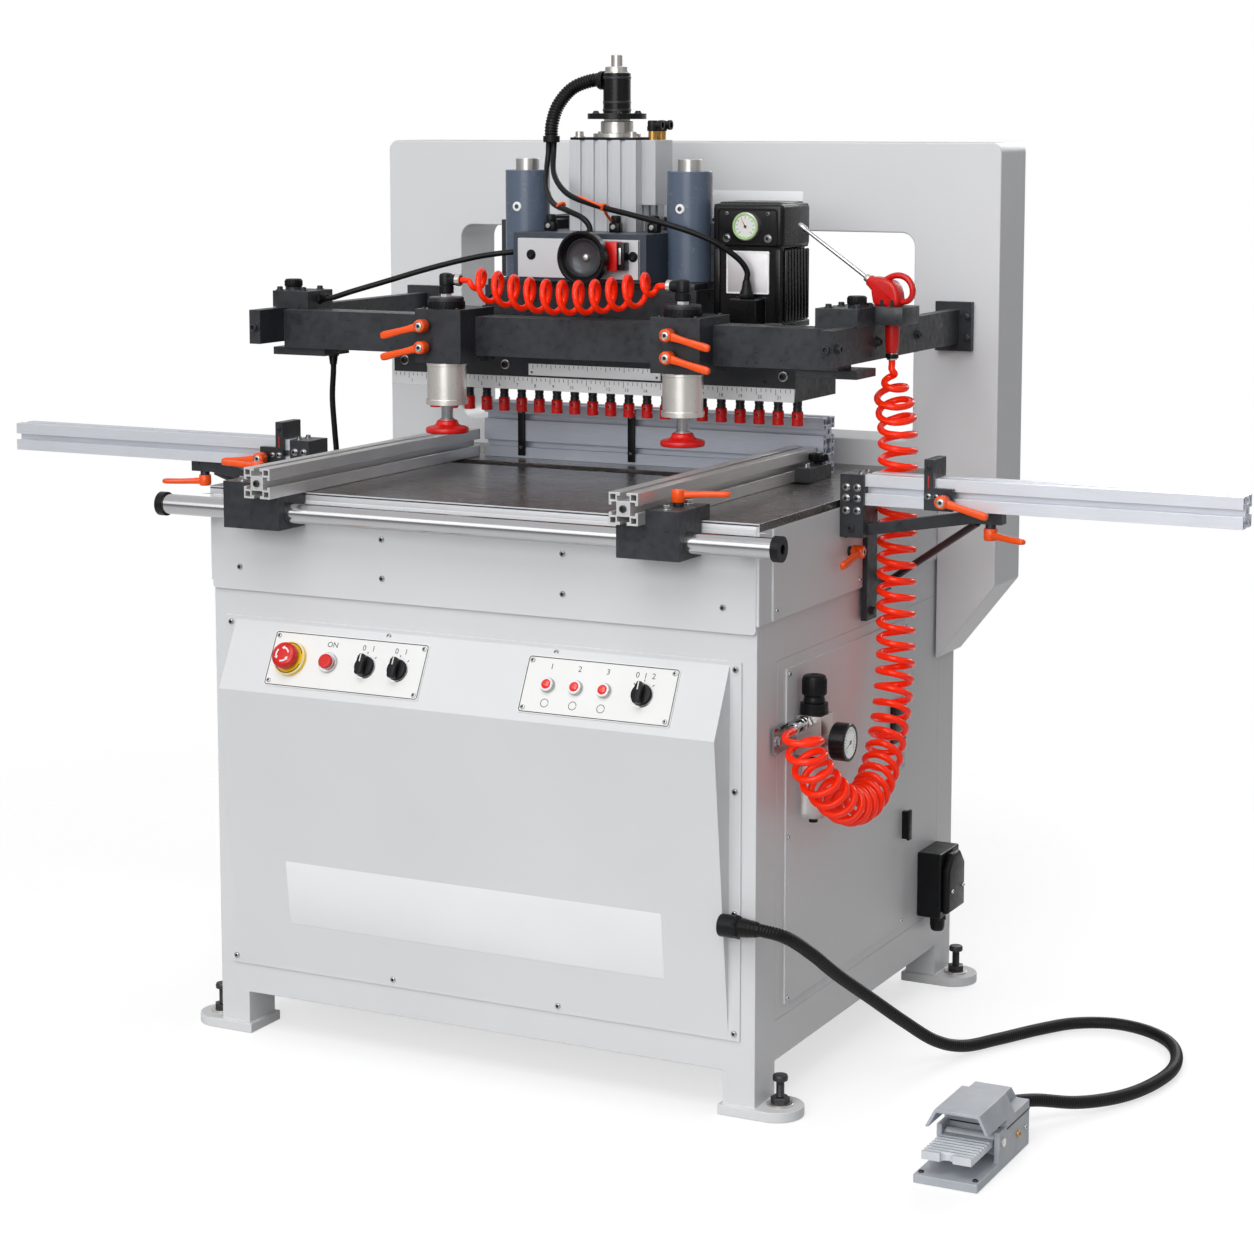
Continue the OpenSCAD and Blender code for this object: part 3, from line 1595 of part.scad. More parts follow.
// Clamp rod with its pad
module clamp_foot(x) {
    pad_top = pad_low + pad_h;
    hat_top = pad_top + pad_hat_h;
    color("red") translate([x, clamp_y, 0]) {
        translate([0, 0, pad_low]) cylinder(d = pad_d, h = pad_h);
        translate([0, 0, pad_top]) cylinder(d1 = pad_hat_d, d2 = pad_neck_d, h = pad_hat_h);
        translate([0, 0, hat_top]) cylinder(d = pad_neck_d, h = pad_neck_h);
        translate([0, 0, hat_top]) cylinder(d = clamp_rod_d, h = beam_top - rod_top_gap - hat_top);
    }
}

module left_clamp_foot() { clamp_foot(left_clamp_x); }
module right_clamp_foot() { clamp_foot(right_clamp_x); }

// Clamp levers: place of the hub's seat, turn of its axis, turn of the arm
lever_high = carrier_top - lever_drop_share * (carrier_top - carrier_low);
lever_low = carrier_low + lever_drop_share * (carrier_top - carrier_low);
lever_dip = 14;
fence_lever_y = bar_y + bracket_back / 3;
fence_lever_z = table_z + slide_gap + bracket_h;
stop_lever_z = rail_z + profile / 3;
stop_front_y = rail_y - slide_gap - stop_t;
side_lever_y = -78;
side_lever_z = 768;
LEVERS = [
    [[left_clamp_x + left_hub_x, carrier_front_y, lever_high], [90, 0, 0], 180 + lever_dip],
    [[left_clamp_x + left_hub_x, carrier_front_y, lever_low], [90, 0, 0], 180 + lever_dip],
    [[right_clamp_x + right_hub_x, carrier_front_y, lever_high], [90, 0, 0], -lever_dip],
    [[right_clamp_x + right_hub_x, carrier_front_y, lever_low], [90, 0, 0], -lever_dip],
    [[left_fence_x - profile / 2 - bracket_w / 2, fence_lever_y, fence_lever_z], [0, 0, 0], 170],
    [[right_fence_x + profile / 2 + bracket_w / 2, fence_lever_y, fence_lever_z], [0, 0, 0], 20],
    [[left_stop_x, stop_front_y, stop_lever_z], [90, 0, 0], 180 + lever_dip / 2],
    [[right_stop_x + stop_w, stop_front_y, stop_lever_z], [90, 0, 0], -lever_dip],
    [[-arm_bar_x + arm_bar_d, rail_y + profile / 2, rail_z - arm_bar_high], [180, 0, 0], 160],
    [[arm_bar_x - arm_bar_d, rail_y + profile / 2, rail_z - arm_bar_high], [180, 0, 0], 30],
    [[side_x + sheet_t, side_lever_y, side_lever_z], [0, 90, 0], -80]
];

module at_lever(place) {
    translate(place[0]) rotate(place[1]) rotate([0, 0, place[2]]) children();
}

module lever_stud(place) {
    at_lever(place) translate([0, 0, -stud_sink]) cylinder(d = stud_d, h = stud_l + stud_sink);
}

module lever(i) {
    color("orangered") at_lever(LEVERS[i]) difference() {
        union() {
            translate([0, 0, slide_gap]) cylinder(d = lever_hub_d, h = lever_hub_h);
            translate([0, 0, lever_arm_z]) linear_extrude(lever_arm_h) {
                polygon([
                    [0, -lever_root_w / 2], [lever_l - lever_tip_d / 2, -lever_tip_d / 2],
                    [lever_l - lever_tip_d / 2, lever_tip_d / 2], [0, lever_root_w / 2]
                ]);
                translate([lever_l - lever_tip_d / 2, 0]) circle(d = lever_tip_d);
            }
        }
        translate([0, 0, -over]) cylinder(d = stud_d + 2 * fit_gap, h = stud_l + slide_gap + over);
    }
}

module left_upper_lever() { lever(0); }
module left_lower_lever() { lever(1); }
module right_upper_lever() { lever(2); }
module right_lower_lever() { lever(3); }
module left_fence_lever() { lever(4); }
module right_fence_lever() { lever(5); }
module left_stop_lever() { lever(6); }
module right_stop_lever() { lever(7); }
module left_support_lever() { lever(8); }
module right_support_lever() { lever(9); }
module side_lever() { lever(10); }

// Side fence: profile, runner on the guide bar, bracket and rear keeper
module side_fence(x, s, i) {
    z = table_z + slide_gap;
    out = x + s * (profile / 2 + bracket_w);
    color("silver") {
        profile_y(x - profile / 2, fence_front_y, fence_rear_y, z);
        difference() {
            block(
                [min(x - s * profile / 2, out), bar_y - runner_front, bar_z - runner_low],
                [max(x - s * profile / 2, out), skin_y - front_panel_t - runner_gap, z]
            );
            bar_x(
                min(x - s * profile / 2, out) - over, max(x - s * profile / 2, out) + over,
                bar_y, bar_z, bar_d + 2 * fit_gap
            );
        }
        block(
            [min(x + s * profile / 2, out), bar_y - runner_front, z],
            [max(x + s * profile / 2, out), bar_y + bracket_back, z + bracket_h]
        );
        block(
            [min(x + s * profile / 2, x + s * (profile / 2 + keeper_w)), fence_rear_y - keeper_l, z],
            [max(x + s * profile / 2, x + s * (profile / 2 + keeper_w)), fence_rear_y, z + keeper_h]
        );
        lever_stud(LEVERS[i]);
    }
}

module left_fence() { side_fence(left_fence_x, -1, 4); }
module right_fence() { side_fence(right_fence_x, 1, 5); }

// Flip stop on an extension rail
module rail_stop(x, i, s) {
    gap = slide_gap;
    top = rail_z + profile + gap;
    base_top = rail_z + (profile + lever_hub_d) / 2;
    post = s > 0 ? [x, x + stop_post_w] : [x + stop_w - stop_post_w, x + stop_w];
    color("black") {
        block([x, stop_front_y, rail_z - gap], [x + stop_w, rail_y - gap, base_top]);
        block([post[0], stop_front_y, rail_z - gap], [post[1], rail_y - gap, top + stop_rise]);
        block([post[0], stop_front_y, top], [post[1], rail_y + profile, top + stop_rise]);
        block([s > 0 ? x + stop_w : x - lever_hub_d / 2, stop_front_y, rail_z - gap],
            [s > 0 ? x + stop_w + lever_hub_d / 2 : x, rail_y - gap, base_top]);
        lever_stud(LEVERS[i]);
    }
}

module left_stop() { rail_stop(left_stop_x, 6, -1); }
module right_stop() { rail_stop(right_stop_x, 7, 1); }

base_frame();
fasteners();
front_cover();
table_housing();
side_panels();
service_cover();
table_plate();
rear_fence();
portal_frame();
guide_bar();
hold_down_frame();
head_bracket();
head_yoke();
guide_housings();
air_cylinder();
depth_knob();
warning_horn();
extension_rails();
rail_supports();
control_panels();
estop_button();
start_button();
selector_1();
selector_2();
selector_3();
regulator_body();
regulator_knob();
inlet_fittings();
foot_hose();
pedal_housing();
treadle();
air_hose();
air_gun();
head_cables();
motor_cable();
left_clamp_hose();
right_clamp_hose();
gearbox();
spindles();
motor();
guide_rods();
left_clamp_carrier();
right_clamp_carrier();
left_clamp_foot();
right_clamp_foot();
left_upper_lever();
left_lower_lever();
right_upper_lever();
right_lower_lever();
left_fence();
right_fence();
left_fence_lever();
right_fence_lever();
left_stop();
right_stop();
left_stop_lever();
right_stop_lever();
left_support_lever();
right_support_lever();
side_lever();
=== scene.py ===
# Line boring machine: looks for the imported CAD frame. Lengths are in millimetres until MM turns them into metres.
import random
from itertools import product
from math import copysign, cos, pi, radians, sin, tau

import bmesh
import bpy
from mathutils import Matrix, Vector


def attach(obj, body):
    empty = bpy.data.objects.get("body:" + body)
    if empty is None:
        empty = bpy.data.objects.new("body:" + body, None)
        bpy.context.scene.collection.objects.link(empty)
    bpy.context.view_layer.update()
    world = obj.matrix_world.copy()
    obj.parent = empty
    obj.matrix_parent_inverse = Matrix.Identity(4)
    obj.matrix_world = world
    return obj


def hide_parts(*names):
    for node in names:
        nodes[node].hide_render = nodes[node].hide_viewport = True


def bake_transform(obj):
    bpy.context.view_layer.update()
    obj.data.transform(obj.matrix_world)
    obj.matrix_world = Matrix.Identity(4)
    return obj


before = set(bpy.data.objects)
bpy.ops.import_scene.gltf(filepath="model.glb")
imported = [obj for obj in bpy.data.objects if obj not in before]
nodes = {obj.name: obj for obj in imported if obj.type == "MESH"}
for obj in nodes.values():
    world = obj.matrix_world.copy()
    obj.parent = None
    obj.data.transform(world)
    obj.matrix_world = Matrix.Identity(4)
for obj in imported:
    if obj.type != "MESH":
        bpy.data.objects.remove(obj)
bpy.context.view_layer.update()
rng = random.Random(32)
scene = bpy.context.scene
MM = 0.001
FRONT, BACK, LEFT, RIGHT, UP, DOWN = (0, -1, 0), (0, 1, 0), (-1, 0, 0), (1, 0, 0), (0, 0, 1), (0, 0, -1)
BOTH = (-1, 1)


def mm(p):
    return Vector(p) * MM


# Camera, fitted to the photo's view
camera = bpy.data.objects.new("camera", bpy.data.cameras.new("camera"))
scene.collection.objects.link(camera)
scene.camera = camera
camera.location = mm((2041.6, -3914.4, 1400.5))
camera.rotation_euler = (radians(90 - 7.192), 0, radians(26.931))
camera.data.sensor_width = 36
camera.data.lens = 81.675
camera.data.shift_y = -0.12
camera.data.clip_start, camera.data.clip_end = 0.05, 100


# Shader nodes
def feed(tree, n, sockets):
    """Gives each input a constant, or links it to the output that feeds it."""
    for key, value in sockets.items():
        if isinstance(value, bpy.types.NodeSocket):
            tree.links.new(value, n.inputs[key])
        else:
            n.inputs[key].default_value = value


def node(tree, kind, sockets=None, **settings):
    n = tree.nodes.new("ShaderNode" + kind)
    for key, value in settings.items():
        setattr(n, key, value)
    feed(tree, n, sockets or {})
    return n


def ramp(tree, value, low, high, start=0, end=1, **settings):
    sockets = {"Value": value, "From Min": start, "From Max": end, "To Min": low, "To Max": high}
    return node(tree, "MapRange", sockets, **settings).outputs["Result"]


def maths(tree, kind, a, b=0.0):
    return node(tree, "Math", {0: a, 1: b}, operation=kind).outputs[0]


# Procedural materials
DUST = (0.55, 0.53, 0.5)
RELIEF = 0.0004


def linear(colour):
    """Linear from 0-255 sRGB. A colour with no part over 1 is linear already."""
    if max(colour) <= 1:
        return colour
    return tuple((c / 255 / 12.92 if c <= 10 else ((c / 255 + 0.055) / 1.055) ** 2.4) for c in colour)


def material(name, colour, rough, mottle, metal=0.0, spec=0.5, coat=0.0, uneven=0.06, peel=None, grain=None,
             grain_depth=0.0, edge_wear_and_highlight=None, dust=0.0, clear=0.0, glow=0.0):
    """Paint, plastic, rubber or metal with broken-up colour and gloss.
    mottle: (share, scale) of the colour's spots. uneven: spread of the roughness. peel: (depth, scale) of a fine
    relief. grain: stretch of the fine noise (brush marks). worn: (colour, width, share) of the edges' own tone:
    wear, and where the tone is lighter than the surface, a painted highlight along the edges too."""
    m = bpy.data.materials.new(name)
    m.use_nodes = True
    tree = m.node_tree
    place = node(tree, "TexCoord").outputs["Object"]
    colour = linear(colour)

    def noise(scale, detail, stretch=None):
        source = place
        if stretch:
            source = node(tree, "Mapping", {"Vector": place, "Scale": stretch}).outputs["Vector"]
        return node(tree, "TexNoise", {"Vector": source, "Scale": scale, "Detail": detail}).outputs["Fac"]

    def spread(value, low, high, start=0.3, end=0.7):
        return ramp(tree, value, low, high, start, end)

    def mix(share, a, b):
        a, b = (x if isinstance(x, bpy.types.NodeSocket) else (*x, 1) for x in (a, b))
        return node(tree, "Mix", {0: share, 6: a, 7: b}, data_type="RGBA").outputs[2]

    def normal():
        return node(tree, "NewGeometry").outputs["Normal"]

    share, scale = mottle
    fine = noise(260 if grain else 90, 4, grain)
    base = mix(spread(noise(scale, 3), 0, 1), [c * (1 - share) for c in colour],
               [min(1, c * (1 + share)) for c in colour])
    if grain:
        base = mix(spread(fine, 0, 0.4), base, [c * 0.78 for c in colour])
    if dust:
        up = node(tree, "SeparateXYZ", {0: normal()}).outputs["Z"]
        lying = maths(tree, "MULTIPLY", spread(up, 0, dust, 0.5, 1.0), spread(noise(14, 5), 0.2, 1))
        base = mix(lying, base, DUST)
    # Edges take their own tone: wear, and where the tone is lighter than the surface, a painted highlight along the
    # edges too
    if edge_wear_and_highlight:
        edge_tone, width, most = edge_wear_and_highlight
        soft = node(tree, "Bevel", {"Radius": width * MM}, samples=4).outputs["Normal"]
        dot = node(tree, "VectorMath", {0: soft, 1: normal()}, operation="DOT_PRODUCT").outputs["Value"]
        patch = maths(tree, "MULTIPLY", spread(dot, 1, 0, 0.72, 0.97), spread(noise(38, 5), 0, 1, 0.42, 0.68))
        base = mix(maths(tree, "MULTIPLY", patch, most), base, linear(edge_tone))
    out = tree.nodes["Principled BSDF"]
    if peel or grain_depth:
        depth, height = (grain_depth, fine) if grain else (peel[0], noise(peel[1], 2))
        bump = node(tree, "Bump", {"Strength": depth, "Distance": RELIEF, "Height": height})
        feed(tree, out, {"Normal": bump.outputs["Normal"]})
    feed(tree, out, {"Base Color": base, "Roughness": spread(fine, rough - uneven, rough + uneven), "Metallic": metal,
                     "Specular IOR Level": spec, "Coat Weight": coat, "Coat Roughness": 0.12,
                     "Transmission Weight": clear})
    if glow:
        feed(tree, out, {"Emission Color": (*colour, 1), "Emission Strength": glow})
    return m


def aluminium(name, colour, rough, metal, grain, edge_tone=(236, 238, 242)):
    """Drawn profile, with fine lines along the axis that grain stretches least."""
    # Its lighter edges are partly wear and partly a painted highlight
    return material(name, colour, rough, (0.03, 12), metal, grain=grain, grain_depth=0.03, edge_wear_and_highlight=(edge_tone, 0.7, 0.5))


PAINT = material("white_paint", (214, 215, 217), 0.42, (0.025, 3), peel=(0.1, 420), edge_wear_and_highlight=((176, 177, 180), 1.0, 0.45))
PALE = material("bare_plate", (232, 233, 235), 0.38, (0.02, 5), peel=(0.06, 500))
PANEL = material("panel_white", (230, 230, 229), 0.36, (0.02, 9), peel=(0.05, 900))
IRON = material("grey_paint", (40, 42, 46), 0.4, (0.35, 14), spec=0.4, uneven=0.14, peel=(0.22, 520),
                edge_wear_and_highlight=((104, 106, 110), 0.9, 0.55), dust=0.1)
TABLE = material("table_paint", (112, 107, 104), 0.25, (0.26, 5.5), 0.75, uneven=0.1, grain=(0.16, 2.6, 1.0),
                 grain_depth=0.06)
SLATE = material("housing_paint", (86, 98, 116), 0.25, (0.03, 10), coat=0.2, uneven=0.03, peel=(0.05, 500))
STEEL = material("dark_steel", (52, 52, 55), 0.4, (0.18, 22), 0.55, peel=(0.1, 700),
                 edge_wear_and_highlight=((140, 140, 142), 0.7, 0.5))
ALUMINIUM = aluminium("profile_aluminium", (216, 216, 216), 0.34, 0.6, (2.4, 0.12, 2.4))
ALUMINIUM_X = aluminium("profile_aluminium_x", (226, 229, 236), 0.36, 0.6, (0.12, 2.4, 2.4))
ALUMINIUM_Z = aluminium("profile_aluminium_z", (202, 204, 208), 0.38, 0.5, (2.4, 2.4, 0.12))
# A darker copy of the profile aluminium: painted shade for the rear fence, which lies in the beam's shadow
ALUMINIUM_SHADED = aluminium("profile_aluminium_shaded", (190, 196, 208), 0.38, 0.5, (0.12, 2.4, 2.4), (226, 230, 238))
SCALE = material("scale_strip", (200, 201, 204), 0.42, (0.03, 16), 0.25, uneven=0.05)
# A brighter copy of the scale strip: painted light on the gearbox's scales, which lie in the beam's shadow
STRIP_LIT = material("scale_strip_lit", (238, 239, 241), 0.36, (0.03, 16), 0.1, uneven=0.05)
BARREL = material("barrel_nickel", (232, 228, 223), 0.28, (0.012, 6), 0.9, uneven=0.008)
CHROME = material("bright_steel", (176, 176, 178), 0.17, (0.03, 12), 1.0, uneven=0.02)
TURNED = material("turned_steel", (196, 193, 189), 0.29, (0.015, 10), 0.9, uneven=0.008)
VALVE = material("valve_body", (188, 190, 193), 0.4, (0.03, 14), 0.3, uneven=0.03, edge_wear_and_highlight=((228, 230, 233), 0.7, 0.5))
LABEL = material("bare_label", (196, 194, 197), 0.36, (0.05, 34), 0.3)
BRASS = material("brass", (186, 144, 78), 0.3, (0.1, 60), 0.9)
RED = material("red_plastic", (204, 20, 16), 0.32, (0.07, 40), spec=0.35, coat=0.1, peel=(0.04, 700))
SLEEVE = material("spindle_red", (222, 26, 24), 0.36, (0.1, 55), spec=0.3, coat=0.1, peel=(0.05, 700),
                  edge_wear_and_highlight=((214, 120, 112), 0.5, 0.5))
ORANGE = material("orange_plastic", (243, 84, 16), 0.33, (0.06, 45), spec=0.35, coat=0.15, peel=(0.1, 1100),
                  edge_wear_and_highlight=((250, 142, 84), 0.6, 0.4))
# The hose's faint emission is painted light, standing in for light that passes through the translucent hose
HOSE = material("orange_hose", (255, 42, 0), 0.22, (0.06, 30), spec=0.25, coat=0.1, uneven=0.05, glow=0.1)
YELLOW = material("estop_yellow", (236, 196, 28), 0.36, (0.05, 40), coat=0.2)
BLACK = material("black_plastic", (19, 20, 22), 0.36, (0.18, 45), spec=0.17, peel=(0.12, 900),
                 edge_wear_and_highlight=((70, 70, 74), 0.6, 0.5))
RUBBER = material("black_rubber", (17, 17, 18), 0.34, (0.16, 60), spec=0.16, peel=(0.06, 1400))
GLOSS = material("gloss_black", (13, 13, 15), 0.28, (0.12, 30), spec=0.25, coat=0.04, uneven=0.02)
PEDAL = material("pedal_grey", (174, 179, 186), 0.44, (0.08, 26), peel=(0.3, 420), edge_wear_and_highlight=((188, 190, 194), 0.9, 0.6))
TREADLE = material("treadle_metal", (204, 208, 213), 0.4, (0.08, 30), 0.25, peel=(0.22, 520),
                   edge_wear_and_highlight=((206, 208, 212), 0.8, 0.7))
DIAL = material("dial_white", (240, 240, 236), 0.35, (0.015, 60))
INK = material("ink", (34, 35, 38), 0.5, (0.12, 90))
# Near-black painted shade, put inside holes, sockets, bores and slots, and along gaps and seams, where shade falls
RECESS_SHADE = material("painted_recess_shade", (14, 14, 15), 0.6, (0.2, 70))
GREEN = material("gauge_green", (158, 200, 132), 0.4, (0.06, 60))
DISH = material("horn_dish", (64, 66, 70), 0.28, (0.08, 60), 0.2, spec=0.3)
YOKE = material("yoke_paint", (50, 57, 68), 0.4, (0.05, 14), peel=(0.14, 560), edge_wear_and_highlight=((112, 118, 128), 0.8, 0.5))
LAMP = material("lamp_red", (224, 30, 26), 0.16, (0.08, 80), coat=0.6, glow=0.12)
GLASS = material("clear_cover", (0.95, 0.96, 0.97), 0.05, (0.01, 30), uneven=0.02, clear=1.0)
BOWL = material("bowl_clear", (0.78, 0.80, 0.80), 0.18, (0.04, 40), uneven=0.04, clear=0.55)


# Outlines and places
def circle(r, sides):
    return [(r * cos(k * tau / sides), r * sin(k * tau / sides)) for k in range(sides)]


def arc(r0, r1, start, end, steps=10):
    a = [radians(start + (end - start) * k / steps) for k in range(steps + 1)]
    return [(r1 * cos(t), r1 * sin(t)) for t in a] + [(r0 * cos(t), r0 * sin(t)) for t in reversed(a)]


def round_rect(w, h, r, steps=5):
    x, y = w / 2 - r, h / 2 - r
    out = []
    for cx, cy, start in ((x, y, 0), (-x, y, 90), (-x, -y, 180), (x, -y, 270)):
        angles = [radians(start + 90 * k / steps) for k in range(steps + 1)]
        out += [(cx + r * cos(a), cy + r * sin(a)) for a in angles]
    return out


def stand(p, axis=UP, spin=0.0):
    """Places a local frame at p with its z along axis."""
    turn = Vector(UP).rotation_difference(Vector(axis).normalized()).to_matrix().to_4x4()
    return turned(Matrix.Translation(Vector(p)) @ turn, radians(spin))


def turned(m, angle):
    return m @ Matrix.Rotation(angle, 4, "Z")


def turns(m, count):
    return [turned(m, k * tau / count) for k in range(count)]


def facing(axis):
    return lambda x, y, z: stand((x, y, z), axis)


to_front, to_back, to_left, to_right, to_top = (facing(axis) for axis in (FRONT, BACK, LEFT, RIGHT, UP))


def each(add, axis, xs, ys, zs, *size):
    """Adds a fastener at every crossing of the given places. A place may be one number."""
    for p in product(*(v if isinstance(v, tuple) else (v,) for v in (xs, ys, zs))):
        add(stand(p, axis), *size)


def axes(x, y, z, p):
    """The frame at p with these axes."""
    return Matrix([(*row, at) for row, at in zip(zip(x, y, z), p)] + [(0, 0, 0, 1)])


def skin(part, rings, ends=True, slots=None):
    """Joins rings of corners by faces. A ring of one corner is a pole."""
    for i, (a, b) in enumerate(zip(rings, rings[1:])):
        count = max(len(a), len(b))
        for k in range(count):
            j = (k + 1) % count
            loop = [a[k % len(a)], a[j % len(a)], b[j % len(b)], b[k % len(b)]]
            loop = [v for n, v in enumerate(loop) if v not in loop[:n]]
            if len(loop) > 2:
                part.faces.new(loop).material_index = slots[i] if slots else 0
    if ends:
        part.faces.new(rings[0][::-1])
        part.faces.new(rings[-1])
    bmesh.ops.recalc_face_normals(part, faces=part.faces[:])


def ease_edges(part, edges, width, segments):
    bmesh.ops.bevel(part, geom=edges, offset=width, segments=segments, affect="EDGES", profile=0.5)


# Shape builder: every primitive is made in its own mesh, bevelled where a width is given, placed and added
class Shape:
    def __init__(self):
        self.bm = bmesh.new()
        self.mats = []

    def slot(self, mat):
        if mat not in self.mats:
            self.mats.append(mat)
        return self.mats.index(mat)

    def take(self, part, mat, m=None):
        if m is not None:
            bmesh.ops.transform(part, matrix=m, verts=part.verts)
        if mat is not None:
            index = self.slot(mat)
            for f in part.faces:
                f.material_index = index
        mesh = bpy.data.meshes.new("part")
        part.to_mesh(mesh)
        part.free()
        self.bm.from_mesh(mesh)
        bpy.data.meshes.remove(mesh)

    def box(self, lo, hi, mat, round_by=0.8, m=None, segments=2):
        part = bmesh.new()
        bmesh.ops.create_cube(part, size=1)
        lo, hi = Vector(lo), Vector(hi)
        for v in part.verts:
            v.co = [(lo[i] + hi[i]) / 2 + v.co[i] * (hi[i] - lo[i]) for i in range(3)]
        if round_by:
            ease_edges(part, part.edges[:], round_by, segments)
        self.take(part, mat, m)

    def lathe(self, profile, mats, m=None, sides=32):
        """profile: (radius, height) pairs from the low end; mats: one material, or one for each step."""
        part = bmesh.new()
        rings = [[part.verts.new((x, y, z)) for x, y in (circle(r, sides) if r else [(0, 0)])] for r, z in profile]
        each = mats if isinstance(mats, list) else [mats] * (len(profile) - 1)
        skin(part, rings, False, [self.slot(mat) for mat in each])
        self.take(part, None, m)

    def prism(self, outline, low, high, mat, m=None, round_by=0.0, segments=2):
        part = bmesh.new()
        bottom, top = ([part.verts.new((x, y, z)) for x, y in outline] for z in (low, high))
        part.faces.new(bottom[::-1])
        part.faces.new(top)
        skin(part, [bottom, top], False)
        if round_by:
            rim = [e for e in part.edges if abs(e.verts[0].co.z - e.verts[1].co.z) < 1e-6]
            ease_edges(part, rim, round_by, segments)
        self.take(part, mat, m)

    def tube(self, path, radius, mat, sides=14, m=None):
        """path: points; radius: one number, or one for each point."""
        path = [Vector(p) for p in path]
        radii = radius if isinstance(radius, list) else [radius] * len(path)
        part = bmesh.new()
        rings, normal = [], None
        for i, p in enumerate(path):
            t = (path[min(i + 1, len(path) - 1)] - path[max(i - 1, 0)]).normalized()
            if normal is None:
                normal = t.cross(Vector(UP if abs(t.z) < 0.9 else RIGHT)).normalized()
            normal = (normal - normal.dot(t) * t).normalized()
            side = t.cross(normal)
            rings.append([part.verts.new(p + radii[i] * (x * normal + y * side)) for x, y in circle(1, sides)])
        skin(part, rings)
        self.take(part, mat, m)

    def screw(self, m, r, h, mat=CHROME, sides=20):
        """Domed cap screw with a hexagon socket in painted shade, standing on its local z 0."""
        self.lathe([(r, 0), (r, h * 0.45), (r * 0.9, h * 0.8), (r * 0.72, h), (r * 0.52, h)], mat, m, sides)
        self.lathe([(r * 0.52, h), (r * 0.5, h * 0.35), (0, h * 0.3)], RECESS_SHADE, m, 6)

    def cap_bolt(self, m, r, h, mat=STEEL, washer=None):
        """Socket-head bolt with a washer and its socket in painted shade, standing on its local z 0."""
        self.lathe([(r * 1.4, 0), (r * 1.4, 1.0), (r * 1.32, 1.4), (r, 1.4)], washer or mat, m, 28)
        self.lathe([(r, 1.4), (r, h - 0.8), (r - 0.8, h), (r * 0.56, h)], mat, m, 28)
        self.lathe([(r * 0.56, h), (r * 0.54, h * 0.5), (0, h * 0.45)], RECESS_SHADE, m, 6)

    def hex_bolt(self, m, across, h, mat):
        """Hexagon bolt with a washer, standing on its local z 0."""
        r = across / 2
        self.lathe([(r * 1.35, 0), (r * 1.35, 1.2), (r * 1.28, 1.6), (r * 0.8, 1.6)], mat, m, 28)
        self.prism(circle(r * 1.155, 6), 1.4, h, mat, m, 0.5)

    def text(self, words, size, mat, m):
        """Flat raised lettering, centred on m's origin."""
        curve = bpy.data.curves.new("words", "FONT")
        curve.body = words
        curve.size = size
        curve.align_x, curve.align_y = "CENTER", "CENTER"
        curve.extrude = 0.06
        curve.resolution_u = 3
        o = bpy.data.objects.new("words", curve)
        scene.collection.objects.link(o)
        mesh = bpy.data.meshes.new_from_object(o.evaluated_get(bpy.context.evaluated_depsgraph_get()))
        part = bmesh.new()
        part.from_mesh(mesh)
        self.take(part, mat, m)
        bpy.data.objects.remove(o)
        bpy.data.curves.remove(curve)
        bpy.data.meshes.remove(mesh)

    def frame_line(self, w, h, r, width, low, high, mat, m):
        """Raised line round a plate."""
        part = bmesh.new()
        outer, inner = round_rect(w, h, r), round_rect(w - 2 * width, h - 2 * width, max(0.5, r - width))
        lines = ((outer, low), (outer, high), (inner, high), (inner, low))
        skin(part, [[part.verts.new((x, y, z)) for x, y in line] for line, z in lines], False)
        self.take(part, mat, m)

    def dial(self, m, r, z, ticks, reach, needle, band=None):
        """Gauge face. reach: a tick's long start, short start and end; needle: its outline, material, angle and hub."""
        self.lathe([(r, z), (0, z)], DIAL, m, 48)
        for k in range(ticks):
            start = reach[1] if k % 5 else reach[0]
            t = turned(m, radians(225 - 270 / (ticks - 1) * k))
            self.box((start, -0.35, z - 0.1), (reach[2], 0.35, z + 0.15), INK, 0, t)
        if band:
            self.prism(arc(*band), z - 0.1, z + 0.1, RED, m)
        outline, mat, angle, hub = needle
        self.prism(outline, z + 0.3, z + 0.7, mat, turned(m, radians(angle)))
        self.lathe([(hub, z), (hub, z + 1.1), (0, z + 1.3)], STEEL, m, 20)

    def piece(self, name, body, replaces=(), slot=None, smooth=34):
        mesh = bpy.data.meshes.new(name)
        self.bm.to_mesh(mesh)
        self.bm.free()
        mesh.transform(Matrix.Scale(MM, 4))
        for mat in self.mats:
            mesh.materials.append(mat)
        mesh.polygons.foreach_set("use_smooth", [True] * len(mesh.polygons))
        mesh.set_sharp_from_angle(angle=radians(smooth))
        o = bpy.data.objects.new(name, mesh)
        scene.collection.objects.link(o)
        if body:
            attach(o, body)
        if replaces:
            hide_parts(*replaces)
        return o


# Cords: each is a tube along the route that the CAD solid takes
def smooth_route(points, steps):
    p = [Vector(q) for q in points]
    line = []
    for i in range(len(p) - 1):
        a, b, c, d = p[max(i - 1, 0)], p[i], p[i + 1], p[min(i + 2, len(p) - 1)]
        for k in range(steps):
            t = k / steps
            line.append((2 * b + (c - a) * t + (2 * a - 5 * b + 4 * c - d) * t * t
                         + (3 * b - a - 3 * c + d) * t ** 3) / 2)
    return line + [p[-1]]


def length_of(line):
    return sum((b - a).length for a, b in zip(line, line[1:]))


def evenly(line, count):
    total, out, run, i = length_of(line), [], 0.0, 0
    for k in range(count + 1):
        want = total * k / count
        while i < len(line) - 2 and run + (line[i + 1] - line[i]).length < want:
            run += (line[i + 1] - line[i]).length
            i += 1
        step = (line[i + 1] - line[i]).length
        out.append(line[i].lerp(line[i + 1], min(1, (want - run) / step)))
    return out


